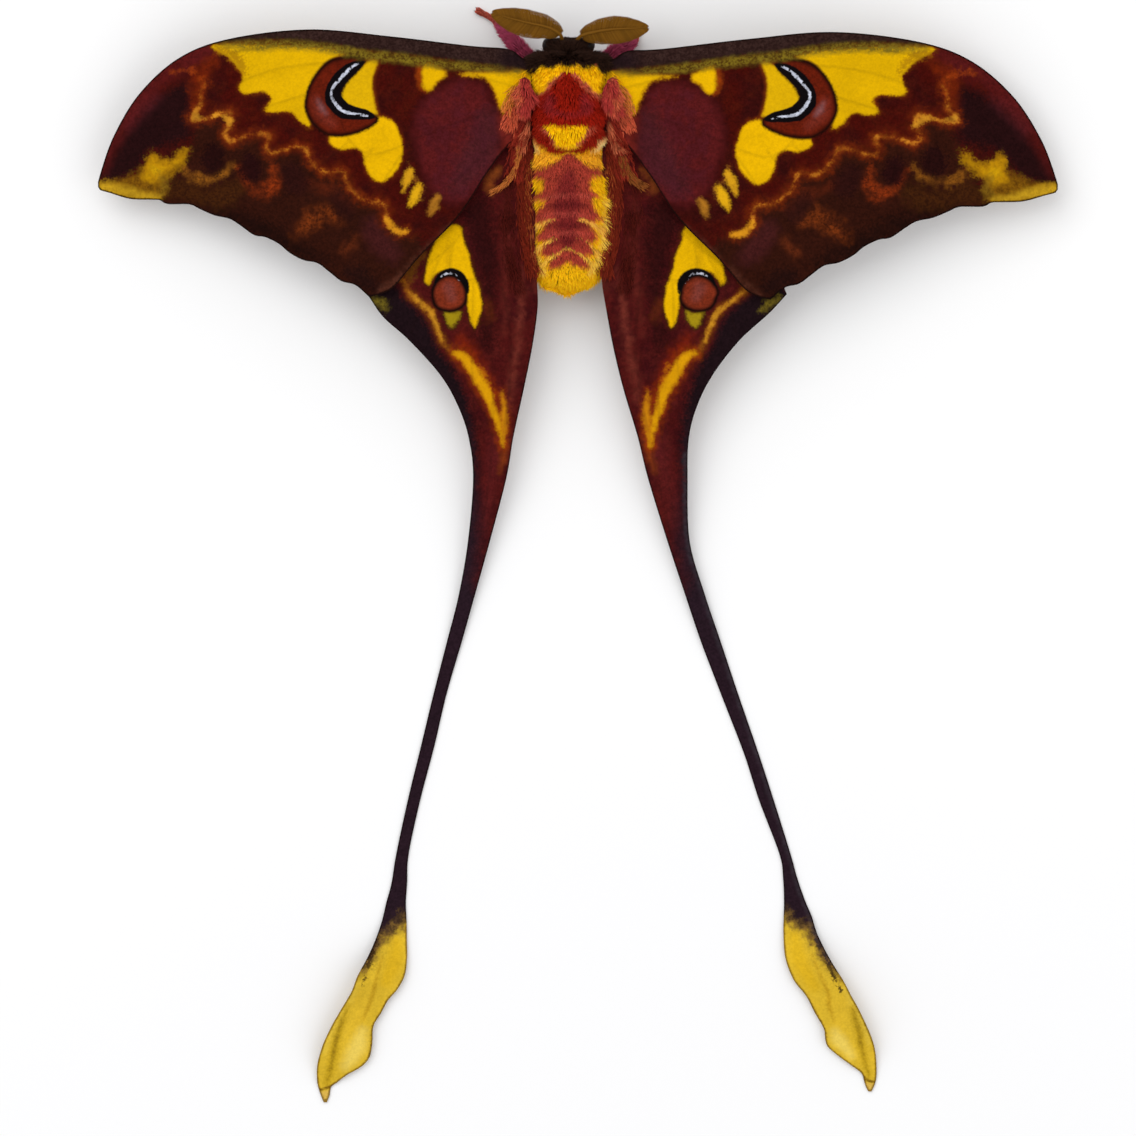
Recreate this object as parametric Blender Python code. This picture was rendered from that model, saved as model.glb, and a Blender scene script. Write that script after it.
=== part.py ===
"""A moon moth at rest: wings spread flat, long tails laid out behind, feathered feelers.

Lengths are in millimetres and become metres in mesh_object. Before that last step a place is
given in the moth's own frame: X across from its midline, Y toward the head, Z up from the floor.
An outline is written for one side as (distance from the midline, Y).
"""

import math
import random

import bmesh
import bpy
import numpy as np
from mathutils import Vector
from mathutils.geometry import delaunay_2d_cdt

MM = 0.001
GAP = 0.3
SIDES = {"left": -1.0, "right": 1.0}
FRAME_REACH = 0.2
BODY_PLACE = (-1.64, 0.2, 0.0)

# Body: rows of (Y, half width, half height, centre Z), rear to front in each list
BODY_SIDES = 20
BODY_POWER = 2.5
THORAX_REAR = 63.1
THORAX_FRONT = 75.2
PAD_X = 5.3
THORAX_ROWS = (
    (THORAX_REAR, 5.6, 4.9, 8.9),
    (64.6, 6.1, 5.6, 9.3),
    (67.2, 6.4, 6.1, 9.6),
    (70.0, 6.5, 6.3, 9.7),
    (72.6, 6.3, 6.0, 9.8),
    (74.2, 6.0, 5.5, 9.8),
    (THORAX_FRONT, 5.7, 5.0, 9.8),
)
COLLAR_REAR = THORAX_FRONT + GAP
COLLAR_FRONT = 77.6
COLLAR_HALF_WIDTH = 6.7
COLLAR_ROWS = (
    (COLLAR_REAR, 6.2, 5.1, 9.9),
    (76.0, COLLAR_HALF_WIDTH, 5.2, 9.9),
    (76.7, 6.6, 5.0, 9.9),
    (77.2, 6.1, 4.5, 9.8),
    (COLLAR_FRONT, 5.2, 3.8, 9.6),
)
HEAD_REAR = COLLAR_FRONT + GAP
HEAD_ROWS = (
    (HEAD_REAR, 2.7, 2.6, 9.3),
    (78.7, 3.0, 2.9, 9.2),
    (79.6, 3.0, 2.9, 9.0),
    (80.4, 2.5, 2.5, 8.9),
    (80.9, 1.5, 1.7, 8.8),
)
EYE_RADIUS = 1.35
EYE_PLACE = (2.75, 79.35, 8.9)
PALP_PATH = ((0.8, 79.3, 7.2), (1.0, 80.5, 6.2), (1.0, 81.3, 7.0))
PALP_RADII = (0.50, 0.50, 0.34)

ABDOMEN_FRONT = THORAX_REAR - GAP
ABDOMEN_TIP = 40.7
ABDOMEN_HALF_WIDTH = 5.35
ABDOMEN_HALF_HEIGHT = 4.4
ABDOMEN_RING_STEP = 0.22
SEGMENT_COUNT = 7
ROWS_PER_SEGMENT = 2
ABDOMEN_ROOT_Z = 8.6
ABDOMEN_TIP_Z = 6.6
ABDOMEN_SHIFT_X = -0.3

# Tegulae: the fur pads over the forewing roots
TEGULA_CENTRE = (6.9, 70.8, 13.5)
TEGULA_HALF = (1.35, 3.5, 1.1)
TEGULA_UNDERSIDE = 13.1

# Locks of long fur: share of the length, height over the skin, width share, depth
LOCK_SEED = 11
LOCK_FORM = ((0.0, -0.45, 0.75, 0.55), (0.35, 0.30, 1.0, 0.60), (0.72, 0.40, 0.75, 0.50),
             (1.0, 0.22, 0.22, 0.22))
LOCK_SWAY = 0.10
LOCK_SPARE = 0.12
THORAX_LOCK_ROWS = (73.9, 71.3, 68.7, 66.2)
THORAX_LOCK_ANGLES = (56, 73, 90, 107, 124)
THORAX_LOCK = (3.3, 2.3)
SHOULDER_LOCK_Y = 65.3
SHOULDER_LOCK = (3.0, 1.5)
RING_LOCK_LEVELS = (60.6, 57.2, 53.8, 50.4, 47.0)
RING_LOCK_ANGLES = (-7, 46, 68, 90)
RING_LOCK = (3.8, 2.4)
RING_LOCK_SPLAY = 0.16
TIP_LOCK_Y = 43.6
TIP_LOCK_COUNT = 8
TIP_LOCK = (3.2, 2.5)
TIP_LOCK_TURN = 0.45
TEGULA_LOCK_PLACES = ((-0.45, 2.3), (0.45, 1.9), (-0.3, 0.2), (0.7, -0.2), (-0.2, -1.9),
                      (0.6, -2.1))
TEGULA_LOCK = (2.7, 1.1)

# Wings
WING_ROOT_X = PAD_X + GAP
WING_SPAN = 75.0
ROOT_HEIGHT = 10.85
FORE_LIFT = 0.9
HIND_LIFT = -0.85
ARCH = 1.2
DROOP = 6.4
SAG_FROM_Y = 61.0
SAG = 0.0024
MEMBRANE = 0.5
ROOT_THICKNESS = 1.0
ROOT_BLEND = 6.0
VEIN_HALF_WIDTH = 0.55
VEIN_HEIGHT = 0.25
VEIN_BELOW = 0.4
OUTLINE_STEP = 2.6
VEIN_STEP = 4.2
RIGHT_SPREAD = 0.00064
RIGHT_DROP = 0.4

FORE_COSTA = (
    (7.15, 77.2), (9.4, 78.6), (15.4, 79.1), (27.9, 80.6), (40.4, 81.7), (52.9, 80.3),
    (60.7, 77.4), (66.9, 71.9), (71.0, 65.2), (73.4, 58.8), (72.8, 56.8),
)
FORE_MARGIN = (
    (72.8, 56.8), (65.4, 55.4), (58.8, 54.5), (51.3, 51.3), (44.3, 47.9), (38.5, 44.8),
    (34.0, 41.7), (31.0, 40.1),
)
FORE_HIND_EDGE = (
    (31.0, 40.1), (26.9, 41.9), (23.2, 46.3), (17.0, 52.7), (12.6, 59.4), (9.0, 64.0),
    (WING_ROOT_X, 66.0),
)
FORE_ROOT = ((WING_ROOT_X, 66.0), (WING_ROOT_X, 75.0), (7.15, 75.1), (7.15, 77.2))
FORE_VEINS = (
    ((6.6, 73.8), (18.0, 77.4), (36.0, 79.6), (50.0, 78.6), (58.0, 76.2)),
    ((6.6, 72.2), (18.0, 75.2), (32.5, 76.6), (48.0, 74.8), (63.0, 66.6), (71.2, 58.6)),
    ((6.6, 70.2), (18.0, 67.0), (27.6, 62.9), (31.2, 62.4), (34.0, 64.4), (35.4, 68.0),
     (34.8, 72.6), (32.5, 76.6)),
    ((34.6, 73.4), (50.0, 68.4), (60.0, 61.2), (66.0, 56.8)),
    ((35.0, 69.4), (47.0, 62.6), (57.4, 55.4)),
    ((34.0, 64.4), (42.0, 57.4), (49.4, 51.6)),
    ((30.4, 63.2), (37.4, 54.0), (42.2, 47.8)),
    ((24.4, 64.6), (30.6, 55.0), (36.4, 44.8)),
    ((6.6, 67.4), (15.0, 60.6), (24.0, 50.6), (30.8, 41.8)),
)

TAIL_CUT_Y = 12.0
HIND_OUTER = {
    "left": ((31.0, 40.1), (28.8, 37.0), (24.8, 33.4), (20.1, 28.2), (17.4, 23.6),
             (15.6, 18.4), (14.9, TAIL_CUT_Y)),
    "right": ((34.0, 40.6), (31.2, 37.6), (26.7, 33.5), (22.7, 28.4), (20.2, 23.6),
              (18.8, 18.4), (18.6, TAIL_CUT_Y)),
}
HIND_INNER = {
    "left": ((9.7, TAIL_CUT_Y), (8.6, 18.4), (7.0, 25.7), (5.6, 32.6), (4.8, 38.6),
             (5.0, 42.4), (5.95, 46.0), (6.1, 56.0), (6.0, 63.0), (WING_ROOT_X, 64.0)),
    "right": ((12.4, TAIL_CUT_Y), (10.8, 18.4), (8.6, 25.7), (7.0, 32.2), (5.8, 38.6),
              (5.4, 42.4), (5.95, 46.0), (6.1, 56.0), (6.0, 63.0), (WING_ROOT_X, 64.0)),
}
HIND_ROOT = ((WING_ROOT_X, 64.0), (WING_ROOT_X, 68.2))
HIND_COSTA = ((WING_ROOT_X, 68.2), (14.0, 62.4), (24.0, 55.0), (31.2, 47.0))
HIND_VEINS = (
    ((6.7, 66.6), (14.0, 60.4), (22.0, 53.6), (29.6, 45.6)),
    ((6.7, 65.6), (12.0, 56.0), (18.0, 48.4), (24.4, 43.0), (28.4, 38.6)),
    ((12.0, 56.0), (11.3, 51.5), (11.4, 47.5), (12.6, 44.4), (14.8, 42.8), (17.0, 43.2),
     (18.4, 45.2), (18.0, 48.4)),
    ((19.8, 46.6), (23.0, 39.4), (24.4, 34.6)),
    ((18.4, 45.2), (19.4, 36.0), (18.6, 28.2)),
    ((14.8, 42.8), (15.0, 28.0), (13.6, 13.4)),
    ((12.6, 44.4), (11.8, 28.0), (12.2, 13.4)),
    ((11.4, 47.5), (9.0, 32.0), (10.8, 13.4)),
)

# Tails: rows of (Y, distance of the middle from the midline, width, roll in degrees)
TAIL_ROWS = {
    "left": ((TAIL_CUT_Y, 12.3, 5.2, 0), (2.2, 14.0, 3.4, 0), (-6.2, 15.9, 2.5, 0),
             (-13.3, 17.8, 2.3, 0), (-21.7, 20.1, 2.0, 0), (-38.4, 24.2, 1.9, 0),
             (-46.8, 26.0, 1.9, 0), (-54.4, 27.1, 3.0, 0), (-59.5, 27.9, 4.9, 6),
             (-64.1, 28.9, 7.0, 14), (-69.6, 31.5, 7.1, 20), (-75.0, 34.2, 7.4, 16),
             (-79.4, 35.3, 7.2, 8), (-82.2, 37.5, 3.6, 4), (-86.0, 38.2, 1.1, 0)),
    "right": ((TAIL_CUT_Y, 15.5, 6.2, 0), (2.2, 17.2, 3.5, 0), (-6.2, 19.8, 3.1, 0),
              (-13.3, 22.2, 3.0, 0), (-21.7, 25.2, 2.5, 0), (-38.4, 31.0, 2.2, 0),
              (-46.8, 33.9, 1.7, 0), (-54.4, 35.2, 3.0, 0), (-59.9, 36.3, 5.4, 6),
              (-64.6, 37.8, 7.5, 14), (-69.6, 40.8, 7.4, 20), (-74.6, 43.2, 7.6, 16),
              (-78.4, 45.2, 6.4, 8), (-80.8, 46.9, 2.6, 4), (-83.9, 47.2, 1.1, 0)),
}
TAIL_TOUCH_Y = -22.0
TAIL_SPLITS = (TAIL_TOUCH_Y, -52.0)
TAIL_STEP = 2.8
TAIL_TIP_STEP = 1.9
TAIL_TURN_LENGTH = 8.0
TAIL_ACROSS = 4
TAIL_TIP_ACROSS = 6
BLADE_CURL = 0.9

# Feelers: rachis path points from the scape outwards
SCAPE_ROOT = (1.0, 79.5, 10.3)
SCAPE_END = (1.5, 80.6, 11.6)
RACHIS_RADII = (0.42, 0.27)
RACHIS_RINGS = 13
FEELER_PATHS = {
    "left": ((2.9, 81.6, 12.3), (5.8, 82.7, 12.5), (9.0, 83.8, 12.2), (11.6, 84.4, 11.7)),
    "right": ((3.0, 81.6, 12.3), (6.0, 82.0, 12.5), (9.4, 82.1, 12.2), (12.1, 81.8, 11.7)),
}
RAMI = 15
RAMUS_REACH = 2.3
RAMUS_WIDTH = 0.52
RAMUS_LEAN = math.radians(24)
RAMUS_DIP = 0.18

# Legs: (distance, Y, Z) points from the coxa's end to the foot, with radii along them
LEG_SIDES = 8
LEG_RINGS = 6
LEG_RADII = (0.85, 0.95, 0.85, 0.75, 0.45, 0.42)
LEG_CUTS = (0.34, 0.66)
COXA_RADIUS = 0.9
COXA_ROOTS = {"fore": (2.2, 73.0, 6.4), "mid": (2.4, 70.0, 6.2), "hind": (2.2, 66.4, 6.4)}
LEG_PATHS = {
    ("fore", "left"): ((4.5, 75.2, 4.7), (6.4, 77.6, 5.0), (8.9, 80.5, 4.0),
                       (10.7, 82.7, 1.7), (12.0, 84.0, 0.5), (14.3, 85.3, 0.38)),
    ("fore", "right"): ((4.5, 75.2, 4.7), (6.2, 77.6, 5.0), (8.2, 79.2, 3.9),
                        (10.0, 80.2, 1.7), (10.6, 81.0, 0.5), (10.6, 82.6, 0.38)),
    ("mid", "left"): ((5.3, 70.0, 4.2), (8.0, 69.8, 4.4), (10.6, 69.3, 4.6),
                      (13.6, 68.4, 1.8), (15.0, 67.9, 0.5), (18.6, 67.0, 0.38)),
    ("mid", "right"): ((5.3, 70.0, 4.2), (8.0, 69.8, 4.4), (10.6, 69.3, 4.6),
                       (13.6, 68.4, 1.8), (15.0, 67.9, 0.5), (18.6, 67.0, 0.38)),
    ("hind", "left"): ((4.9, 64.9, 4.4), (7.2, 62.6, 4.5), (9.0, 60.0, 4.7),
                       (10.8, 56.5, 1.9), (11.5, 54.9, 0.5), (12.9, 51.4, 0.38)),
    ("hind", "right"): ((4.9, 64.9, 4.4), (7.2, 62.6, 4.5), (9.0, 60.0, 4.7),
                        (10.8, 56.5, 1.9), (11.5, 54.9, 0.5), (12.9, 51.4, 0.38)),
}

# Finishes: name, colour, roughness
FINISHES = {
    "collar_fur": ((0.035, 0.020, 0.016), 0.85),
    "thorax_fur": ((0.27, 0.016, 0.012), 0.85),
    "tegula_fur": ((0.42, 0.10, 0.07), 0.85),
    "abdomen_fur": ((0.45, 0.13, 0.03), 0.85),
    "forewing_scales": ((0.16, 0.02, 0.02), 0.70),
    "hindwing_scales": ((0.10, 0.015, 0.015), 0.70),
    "tail_scales": ((0.025, 0.012, 0.018), 0.70),
    "tail_tip_scales": ((0.60, 0.40, 0.05), 0.65),
    "feeler_brown": ((0.16, 0.07, 0.015), 0.75),
    "leg_magenta": ((0.16, 0.015, 0.05), 0.80),
    "eye_black": ((0.010, 0.006, 0.006), 0.15),
}


def clear_scene():
    """Remove whatever the open file holds."""
    for item in list(bpy.data.objects):
        bpy.data.objects.remove(item, do_unlink=True)


def finish(name):
    """Return the material of that name, made on first use."""
    material = bpy.data.materials.get(name)
    if material is None:
        colour, roughness = FINISHES[name]
        material = bpy.data.materials.new(name)
        material.use_nodes = True
        shader = material.node_tree.nodes["Principled BSDF"]
        shader.inputs["Base Color"].default_value = (*colour, 1.0)
        shader.inputs["Roughness"].default_value = roughness
        shader.inputs["Metallic"].default_value = 0.0
    return material


def mesh_object(name, points, faces):
    """Make an object in the moth's frame from points in millimetres, faces outward."""
    mesh = bpy.data.meshes.new(name)
    mesh.from_pydata([tuple(c * MM for c in point) for point in points], [], faces)
    work = bmesh.new()
    work.from_mesh(mesh)
    bmesh.ops.triangulate(work, faces=[f for f in work.faces if len(f.verts) > 4])
    bmesh.ops.recalc_face_normals(work, faces=work.faces)
    work.to_mesh(mesh)
    work.free()
    item = bpy.data.objects.new(name, mesh)
    bpy.context.scene.collection.objects.link(item)
    return item


def dress(item, material_name, parent):
    """Give a node its finish and smooth shading, and hang it on the moth's empty."""
    item.data.materials.clear()
    item.data.materials.append(finish(material_name))
    item.data.shade_smooth()
    item.data.set_sharp_from_angle(angle=math.radians(40))
    item.parent = parent
    return item


def smooth_path(points, step):
    """Points about one step apart on a curve through the given points."""
    marks = [np.array(point, dtype=float) for point in points]
    marks = [2 * marks[0] - marks[1], *marks, 2 * marks[-1] - marks[-2]]
    path = [marks[1]]
    for before, start, end, after in zip(marks, marks[1:], marks[2:], marks[3:]):
        count = max(1, round(float(np.linalg.norm(end - start)) / step))
        for k in range(1, count + 1):
            t = k / count
            path.append(0.5 * (2 * start + (end - before) * t
                               + (2 * before - 5 * start + 4 * end - after) * t ** 2
                               + (3 * start - before - 3 * end + after) * t ** 3))
    return path


def path_lengths(path):
    """Length along a path at each of its points."""
    runs = [float(np.linalg.norm(b - a)) for a, b in zip(path, path[1:])]
    return np.concatenate(([0.0], np.cumsum(runs)))


def at_length(path, length):
    """The point of a path at a length along it, running on straight past its ends."""
    lengths = path_lengths(path)
    table = np.array(path)
    point = np.array([np.interp(length, lengths, table[:, c]) for c in range(3)])
    over = length - min(max(length, 0.0), lengths[-1])
    end = table[-1] - table[-2] if over > 0 else table[1] - table[0]
    return point + end / np.linalg.norm(end) * over


def frame_at(path, length):
    """Point, tangent, across and upward directions at a length along a path."""
    run = at_length(path, length + FRAME_REACH) - at_length(path, length - FRAME_REACH)
    tangent = Vector(run).normalized()
    across = tangent.cross(Vector((0, 0, 1))).normalized()
    return Vector(at_length(path, length)), tangent, across, across.cross(tangent)


def length_at(path, point):
    """Length along a path where it passes nearest to a point."""
    gaps = [float(np.linalg.norm(p - point)) for p in path]
    return float(path_lengths(path)[int(np.argmin(gaps))])


def lofted(name, rings):
    """Closed body through rings of equal length, with a flat cap on each end."""
    count = len(rings[0])
    points = [point for ring in rings for point in ring]
    faces = [tuple(range(count)), tuple(range(len(points) - count, len(points)))]
    for r in range(len(rings) - 1):
        for k in range(count):
            a = r * count + k
            b = r * count + (k + 1) % count
            faces.append((a, b, b + count, a + count))
    return mesh_object(name, points, faces)


def oval_ring(y, half_width, half_height, centre_z, sides=BODY_SIDES, shift_x=0.0):
    """One cross-section of the body, a soft-cornered oval across the midline."""
    ring = []
    for k in range(sides):
        angle = math.tau * k / sides
        c, s = math.cos(angle), math.sin(angle)
        x = half_width * math.copysign(abs(c) ** (2 / BODY_POWER), c)
        z = half_height * math.copysign(abs(s) ** (2 / BODY_POWER), s)
        ring.append((shift_x + x, y, centre_z + z))
    return ring


def tube(name, path, low, high, radii, rings=6, sides=LEG_SIDES, floor=None):
    """Round closed rod along part of a path, its underside flat where it would pass the floor."""
    loops = []
    for k in range(rings):
        t = k / (rings - 1)
        centre, _, across, upward = frame_at(path, low + (high - low) * t)
        radius = float(np.interp(t, np.linspace(0, 1, len(radii)), radii))
        ring = []
        for j in range(sides):
            angle = math.tau * (j + 0.5) / sides
            point = centre + radius * (math.cos(angle) * across + math.sin(angle) * upward)
            if floor is not None:
                point.z = max(point.z, floor)
            ring.append(tuple(point))
        loops.append(ring)
    return lofted(name, loops)


def ellipsoid(name, centre, half, across=16, along=10):
    """Closed ball of three half sizes."""
    work = bmesh.new()
    bmesh.ops.create_uvsphere(work, u_segments=across, v_segments=along, radius=1.0)
    points = [tuple(c + h * p for c, h, p in zip(centre, half, v.co)) for v in work.verts]
    faces = [tuple(v.index for v in face.verts) for face in work.faces]
    work.free()
    return mesh_object(name, points, faces)


def combine(item, others, operation="UNION"):
    """Fuse other closed pieces with an object, or cut them from it, and drop them."""
    group = bpy.data.collections.new(item.name + "_pieces")
    bpy.context.scene.collection.children.link(group)
    for other in others:
        bpy.context.scene.collection.objects.unlink(other)
        group.objects.link(other)
    modifier = item.modifiers.new("combine", "BOOLEAN")
    modifier.operand_type = "COLLECTION"
    modifier.collection = group
    modifier.operation = operation
    modifier.solver = "EXACT"
    bpy.context.view_layer.update()
    evaluated = item.evaluated_get(bpy.context.evaluated_depsgraph_get())
    mesh = bpy.data.meshes.new_from_object(evaluated)
    item.modifiers.clear()
    item.data = mesh
    for other in others:
        bpy.data.objects.remove(other, do_unlink=True)
    bpy.data.collections.remove(group)
    keep_largest(item)
    return item


def keep_largest(item):
    """Keep only the surface that encloses most, and clean up after a fusion."""
    work = bmesh.new()
    work.from_mesh(item.data)
    bmesh.ops.remove_doubles(work, verts=work.verts, dist=0.004 * MM)
    bmesh.ops.dissolve_degenerate(work, edges=work.edges, dist=0.002 * MM)
    bmesh.ops.triangulate(work, faces=work.faces)
    left = set(work.faces)
    shells = []
    while left:
        shell = [left.pop()]
        for face in shell:
            for edge in face.edges:
                for other in edge.link_faces:
                    if other in left:
                        left.remove(other)
                        shell.append(other)
        shells.append(shell)
    shells.sort(key=lambda faces: -abs(enclosed(faces)))
    for shell in shells[1:]:
        bmesh.ops.delete(work, geom=shell, context="FACES")
    work.to_mesh(item.data)
    work.free()


def enclosed(faces):
    """Volume inside a set of faces."""
    total = 0.0
    for face in faces:
        a, b, c = (v.co for v in face.verts)
        total += a.dot(b.cross(c)) / 6
    return total


def wing_height(d, y, lift):
    """Height of a wing's middle surface: arched out from the root, drooping at the rim."""
    out = d / WING_SPAN
    sag = SAG * max(0.0, SAG_FROM_Y - y) ** 2
    return ROOT_HEIGHT + lift + ARCH * math.sin(math.pi * min(out, 1.0)) - DROOP * out ** 2 - sag


def wing_thickness(d, y, root):
    """A membrane that thickens toward the root face, which runs between two Y values."""
    beside = max(root[0] - y, 0.0, y - root[1])
    near = max(0.0, 1.0 - math.hypot(d - WING_ROOT_X, beside) / ROOT_BLEND)
    return MEMBRANE + (ROOT_THICKNESS - MEMBRANE) * near


def chained(*stretches):
    """Closed outline from smooth stretches that share their end points."""
    outline = []
    for stretch in stretches:
        path = smooth_path(stretch, OUTLINE_STEP)
        outline.extend(path[:-1])
    return outline


def vein_lines(crest):
    """The crest of a vein and the two lines at its foot, drawn to a point at its outer end."""
    path = smooth_path(crest, VEIN_STEP)
    feet = ([], [])
    for k, point in enumerate(path):
        ahead = path[min(k + 1, len(path) - 1)] - path[max(k - 1, 0)]
        normal = np.array((-ahead[1], ahead[0])) / np.linalg.norm(ahead)
        for foot, sign in zip(feet, (1, -1)):
            foot.append(point + sign * VEIN_HALF_WIDTH * normal)
    return path, feet[0][:-1] + [path[-1]], feet[1][:-1] + [path[-1]]


def distance_to_path(point, path):
    """Shortest distance from a point to a chain of straight runs."""
    best = math.inf
    for a, b in zip(path, path[1:]):
        run = b - a
        t = float(np.clip(np.dot(point - a, run) / np.dot(run, run), 0, 1))
        best = min(best, float(np.linalg.norm(point - a - t * run)))
    return best


def wing(name, outline, veins, root, lift, place):
    """A thin closed wing with its veins raised in the membrane's own surface."""
    points = list(outline)
    edges = []
    crests = []
    for vein in veins:
        crest, left_foot, right_foot = vein_lines(vein)
        crests.append(crest)
        for line in (crest, left_foot, right_foot):
            start = len(points)
            points.extend(line)
            edges.extend((start + k, start + k + 1) for k in range(len(line) - 1))
    rim = list(range(len(outline)))
    plan, _, faces, origins, _, _ = delaunay_2d_cdt(
        [Vector(p) for p in points], edges, [rim], 1, 0.12)
    plan = [np.array(p) for p in plan]
    sheet_top = []
    sheet_under = []
    for point in plan:
        near = min(distance_to_path(point, crest) for crest in crests)
        ridge = VEIN_HEIGHT * max(0.0, 1.0 - near / VEIN_HALF_WIDTH)
        middle = wing_height(point[0], point[1], lift)
        half = wing_thickness(point[0], point[1], root) / 2
        x, y = place(point[0], point[1])
        sheet_top.append((x, y, middle + half + ridge))
        sheet_under.append((x, y, middle - half - VEIN_BELOW * ridge))
    count = len(plan)
    uses = {}
    for face in faces:
        for a, b in zip(face, face[1:] + face[:1]):
            uses[(a, b)] = uses.get((a, b), 0) + 1
    walls = [(b, a, a + count, b + count) for a, b in uses if (b, a) not in uses]
    under = [tuple(i + count for i in reversed(face)) for face in faces]
    return mesh_object(name, sheet_top + sheet_under, [tuple(f) for f in faces] + under + walls)


def spread_place(side):
    """Where a forewing point goes: the right wing is spread a little wider and lower."""
    sign = SIDES[side]
    grow, drop = (RIGHT_SPREAD, RIGHT_DROP) if side == "right" else (0.0, 0.0)

    def place(d, y):
        stretch = max(0.0, d - WING_ROOT_X)
        return sign * (d + grow * stretch ** 2), y - drop * min(1.0, stretch / ROOT_BLEND)

    return place


def forewing(side):
    """One forewing, hooked at the tip."""
    outline = chained(FORE_COSTA, FORE_MARGIN, FORE_HIND_EDGE, FORE_ROOT[:2], FORE_ROOT[1:3],
                      FORE_ROOT[2:])
    root = (FORE_ROOT[0][1], FORE_ROOT[1][1])
    return wing("forewing_" + side, outline, FORE_VEINS, root, FORE_LIFT, spread_place(side))


def hind_warp(side, d, y):
    """Carry a point drawn on the left hindwing to the same place between this side's edges."""
    edges = {}
    for which in ("left", side):
        inner = sorted((p[1], p[0]) for p in HIND_INNER[which])
        outer = sorted((p[1], p[0]) for p in HIND_OUTER[which])
        edges[which] = [np.interp(y, *zip(*rows)) for rows in (inner, outer)]
    start, end = edges["left"]
    new_start, new_end = edges[side]
    return new_start + (d - start) / (end - start) * (new_end - new_start), y


def hindwing(side):
    """One hindwing, cut off square where its tail begins."""
    sign = SIDES[side]
    outer = HIND_OUTER[side]
    outline = chained((*HIND_COSTA, outer[0]), outer, (outer[-1], HIND_INNER[side][0]),
                      HIND_INNER[side], HIND_ROOT)
    veins = [[hind_warp(side, d, y) for d, y in vein] for vein in HIND_VEINS]
    root = (HIND_ROOT[0][1], HIND_ROOT[1][1])
    return wing("hindwing_" + side, outline, veins, root, HIND_LIFT, lambda d, y: (sign * d, y))


def tail_height(y, side):
    """Height of a tail's middle, coming down from the hindwing to lie on the floor."""
    middle = TAIL_ROWS[side][0][1]
    start = wing_height(middle, TAIL_CUT_Y, HIND_LIFT)
    rest = MEMBRANE / 2
    return rest + (start - rest) * (max(0.0, y - TAIL_TOUCH_Y) / (TAIL_CUT_Y - TAIL_TOUCH_Y)) ** 2


def tail_piece(name, side, start_y, end_y, across, step=TAIL_STEP):
    """One length of a tail: a ribbon, rolled and cupped where it widens into the blade."""
    sign = SIDES[side]
    rows = smooth_path(TAIL_ROWS[side], 1.0)
    levels = [row[0] for row in rows][::-1]
    steps = round((start_y - end_y) / step)
    rings = []
    for k in range(steps + 1):
        y = start_y + (end_y - start_y) * k / steps
        d, width, roll = (float(np.interp(y, levels, [row[c] for row in rows][::-1]))
                          for c in (1, 2, 3))
        slope = float(np.interp(y - 1, levels, [row[1] for row in rows][::-1])) - d
        turned = min(1.0, (TAIL_CUT_Y - GAP - y) / TAIL_TURN_LENGTH)
        run = Vector((sign * slope * turned, -1.0)).normalized()
        normal = Vector((-run.y, run.x)) * sign
        tilt = math.radians(max(roll, 0.0))
        cup = BLADE_CURL * math.sin(tilt) / math.sin(math.radians(20))
        half = width / 2
        ring_top = []
        ring_under = []
        for j in range(across + 1):
            u = 2 * j / across - 1
            z = tail_height(y, side) + math.sin(tilt) * half * (1 + u) + cup * (u * u)
            reach = half * u * math.cos(tilt)
            x = sign * d + normal.x * reach
            level = y + normal.y * reach
            ring_top.append((x, level, z + MEMBRANE / 2))
            ring_under.append((x, level, z - MEMBRANE / 2))
        rings.append(ring_top + ring_under[::-1])
    return lofted_sheet(name, rings)


def lofted_sheet(name, rings):
    """Closed ribbon through rings of top points and underside points, split alike on both."""
    count = len(rings[0])
    half = count // 2
    points = [point for ring in rings for point in ring]
    faces = []
    for r in range(len(rings) - 1):
        low = r * count
        for k in range(half - 1):
            a, b = low + k, low + k + 1
            c, d = a + count, b + count
            faces.extend(((a, b, d), (a, d, c)))
            e, f = low + count - 1 - k, low + count - 2 - k
            g, h = e + count, f + count
            faces.extend(((e, h, f), (e, g, h)))
        for a, b in ((low, low + count - 1), (low + half - 1, low + half)):
            faces.append((a, b, b + count, a + count))
    for low in (0, (len(rings) - 1) * count):
        for k in range(half - 1):
            a, b = low + k, low + k + 1
            faces.append((a, b, low + count - 2 - k, low + count - 1 - k))
    return mesh_object(name, points, faces)


def tail(side):
    """The three lengths of one tail, each 0.3 mm from the next."""
    first, second = TAIL_SPLITS
    last = TAIL_ROWS[side][-1][0]
    upper = tail_piece("tail_upper_" + side, side, TAIL_CUT_Y - GAP, first, TAIL_ACROSS)
    lower = tail_piece("tail_lower_" + side, side, first - GAP, second, TAIL_ACROSS)
    tip = tail_piece("tail_tip_" + side, side, second - GAP, last, TAIL_TIP_ACROSS,
                     TAIL_TIP_STEP)
    return (upper, "tail_scales"), (lower, "tail_scales"), (tip, "tail_tip_scales")


def on_surface(rows, y, degrees, shift_x=0.0):
    """A point on a body's surface at a level and an angle round it, and the way out there."""
    levels = [row[0] for row in rows]
    order = np.argsort(levels)
    half_width, half_height, centre_z = (
        float(np.interp(y, np.array(levels)[order], np.array([row[c] for row in rows])[order]))
        for c in (1, 2, 3))
    c, s = math.cos(math.radians(degrees)), math.sin(math.radians(degrees))
    x = math.copysign(abs(c) ** (2 / BODY_POWER), c)
    z = math.copysign(abs(s) ** (2 / BODY_POWER), s)
    out = Vector((math.copysign(abs(x) ** (BODY_POWER - 1), x) / half_width, 0.0,
                  math.copysign(abs(z) ** (BODY_POWER - 1), z) / half_height)).normalized()
    return Vector((shift_x + half_width * x, y, centre_z + half_height * z)), out


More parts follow.
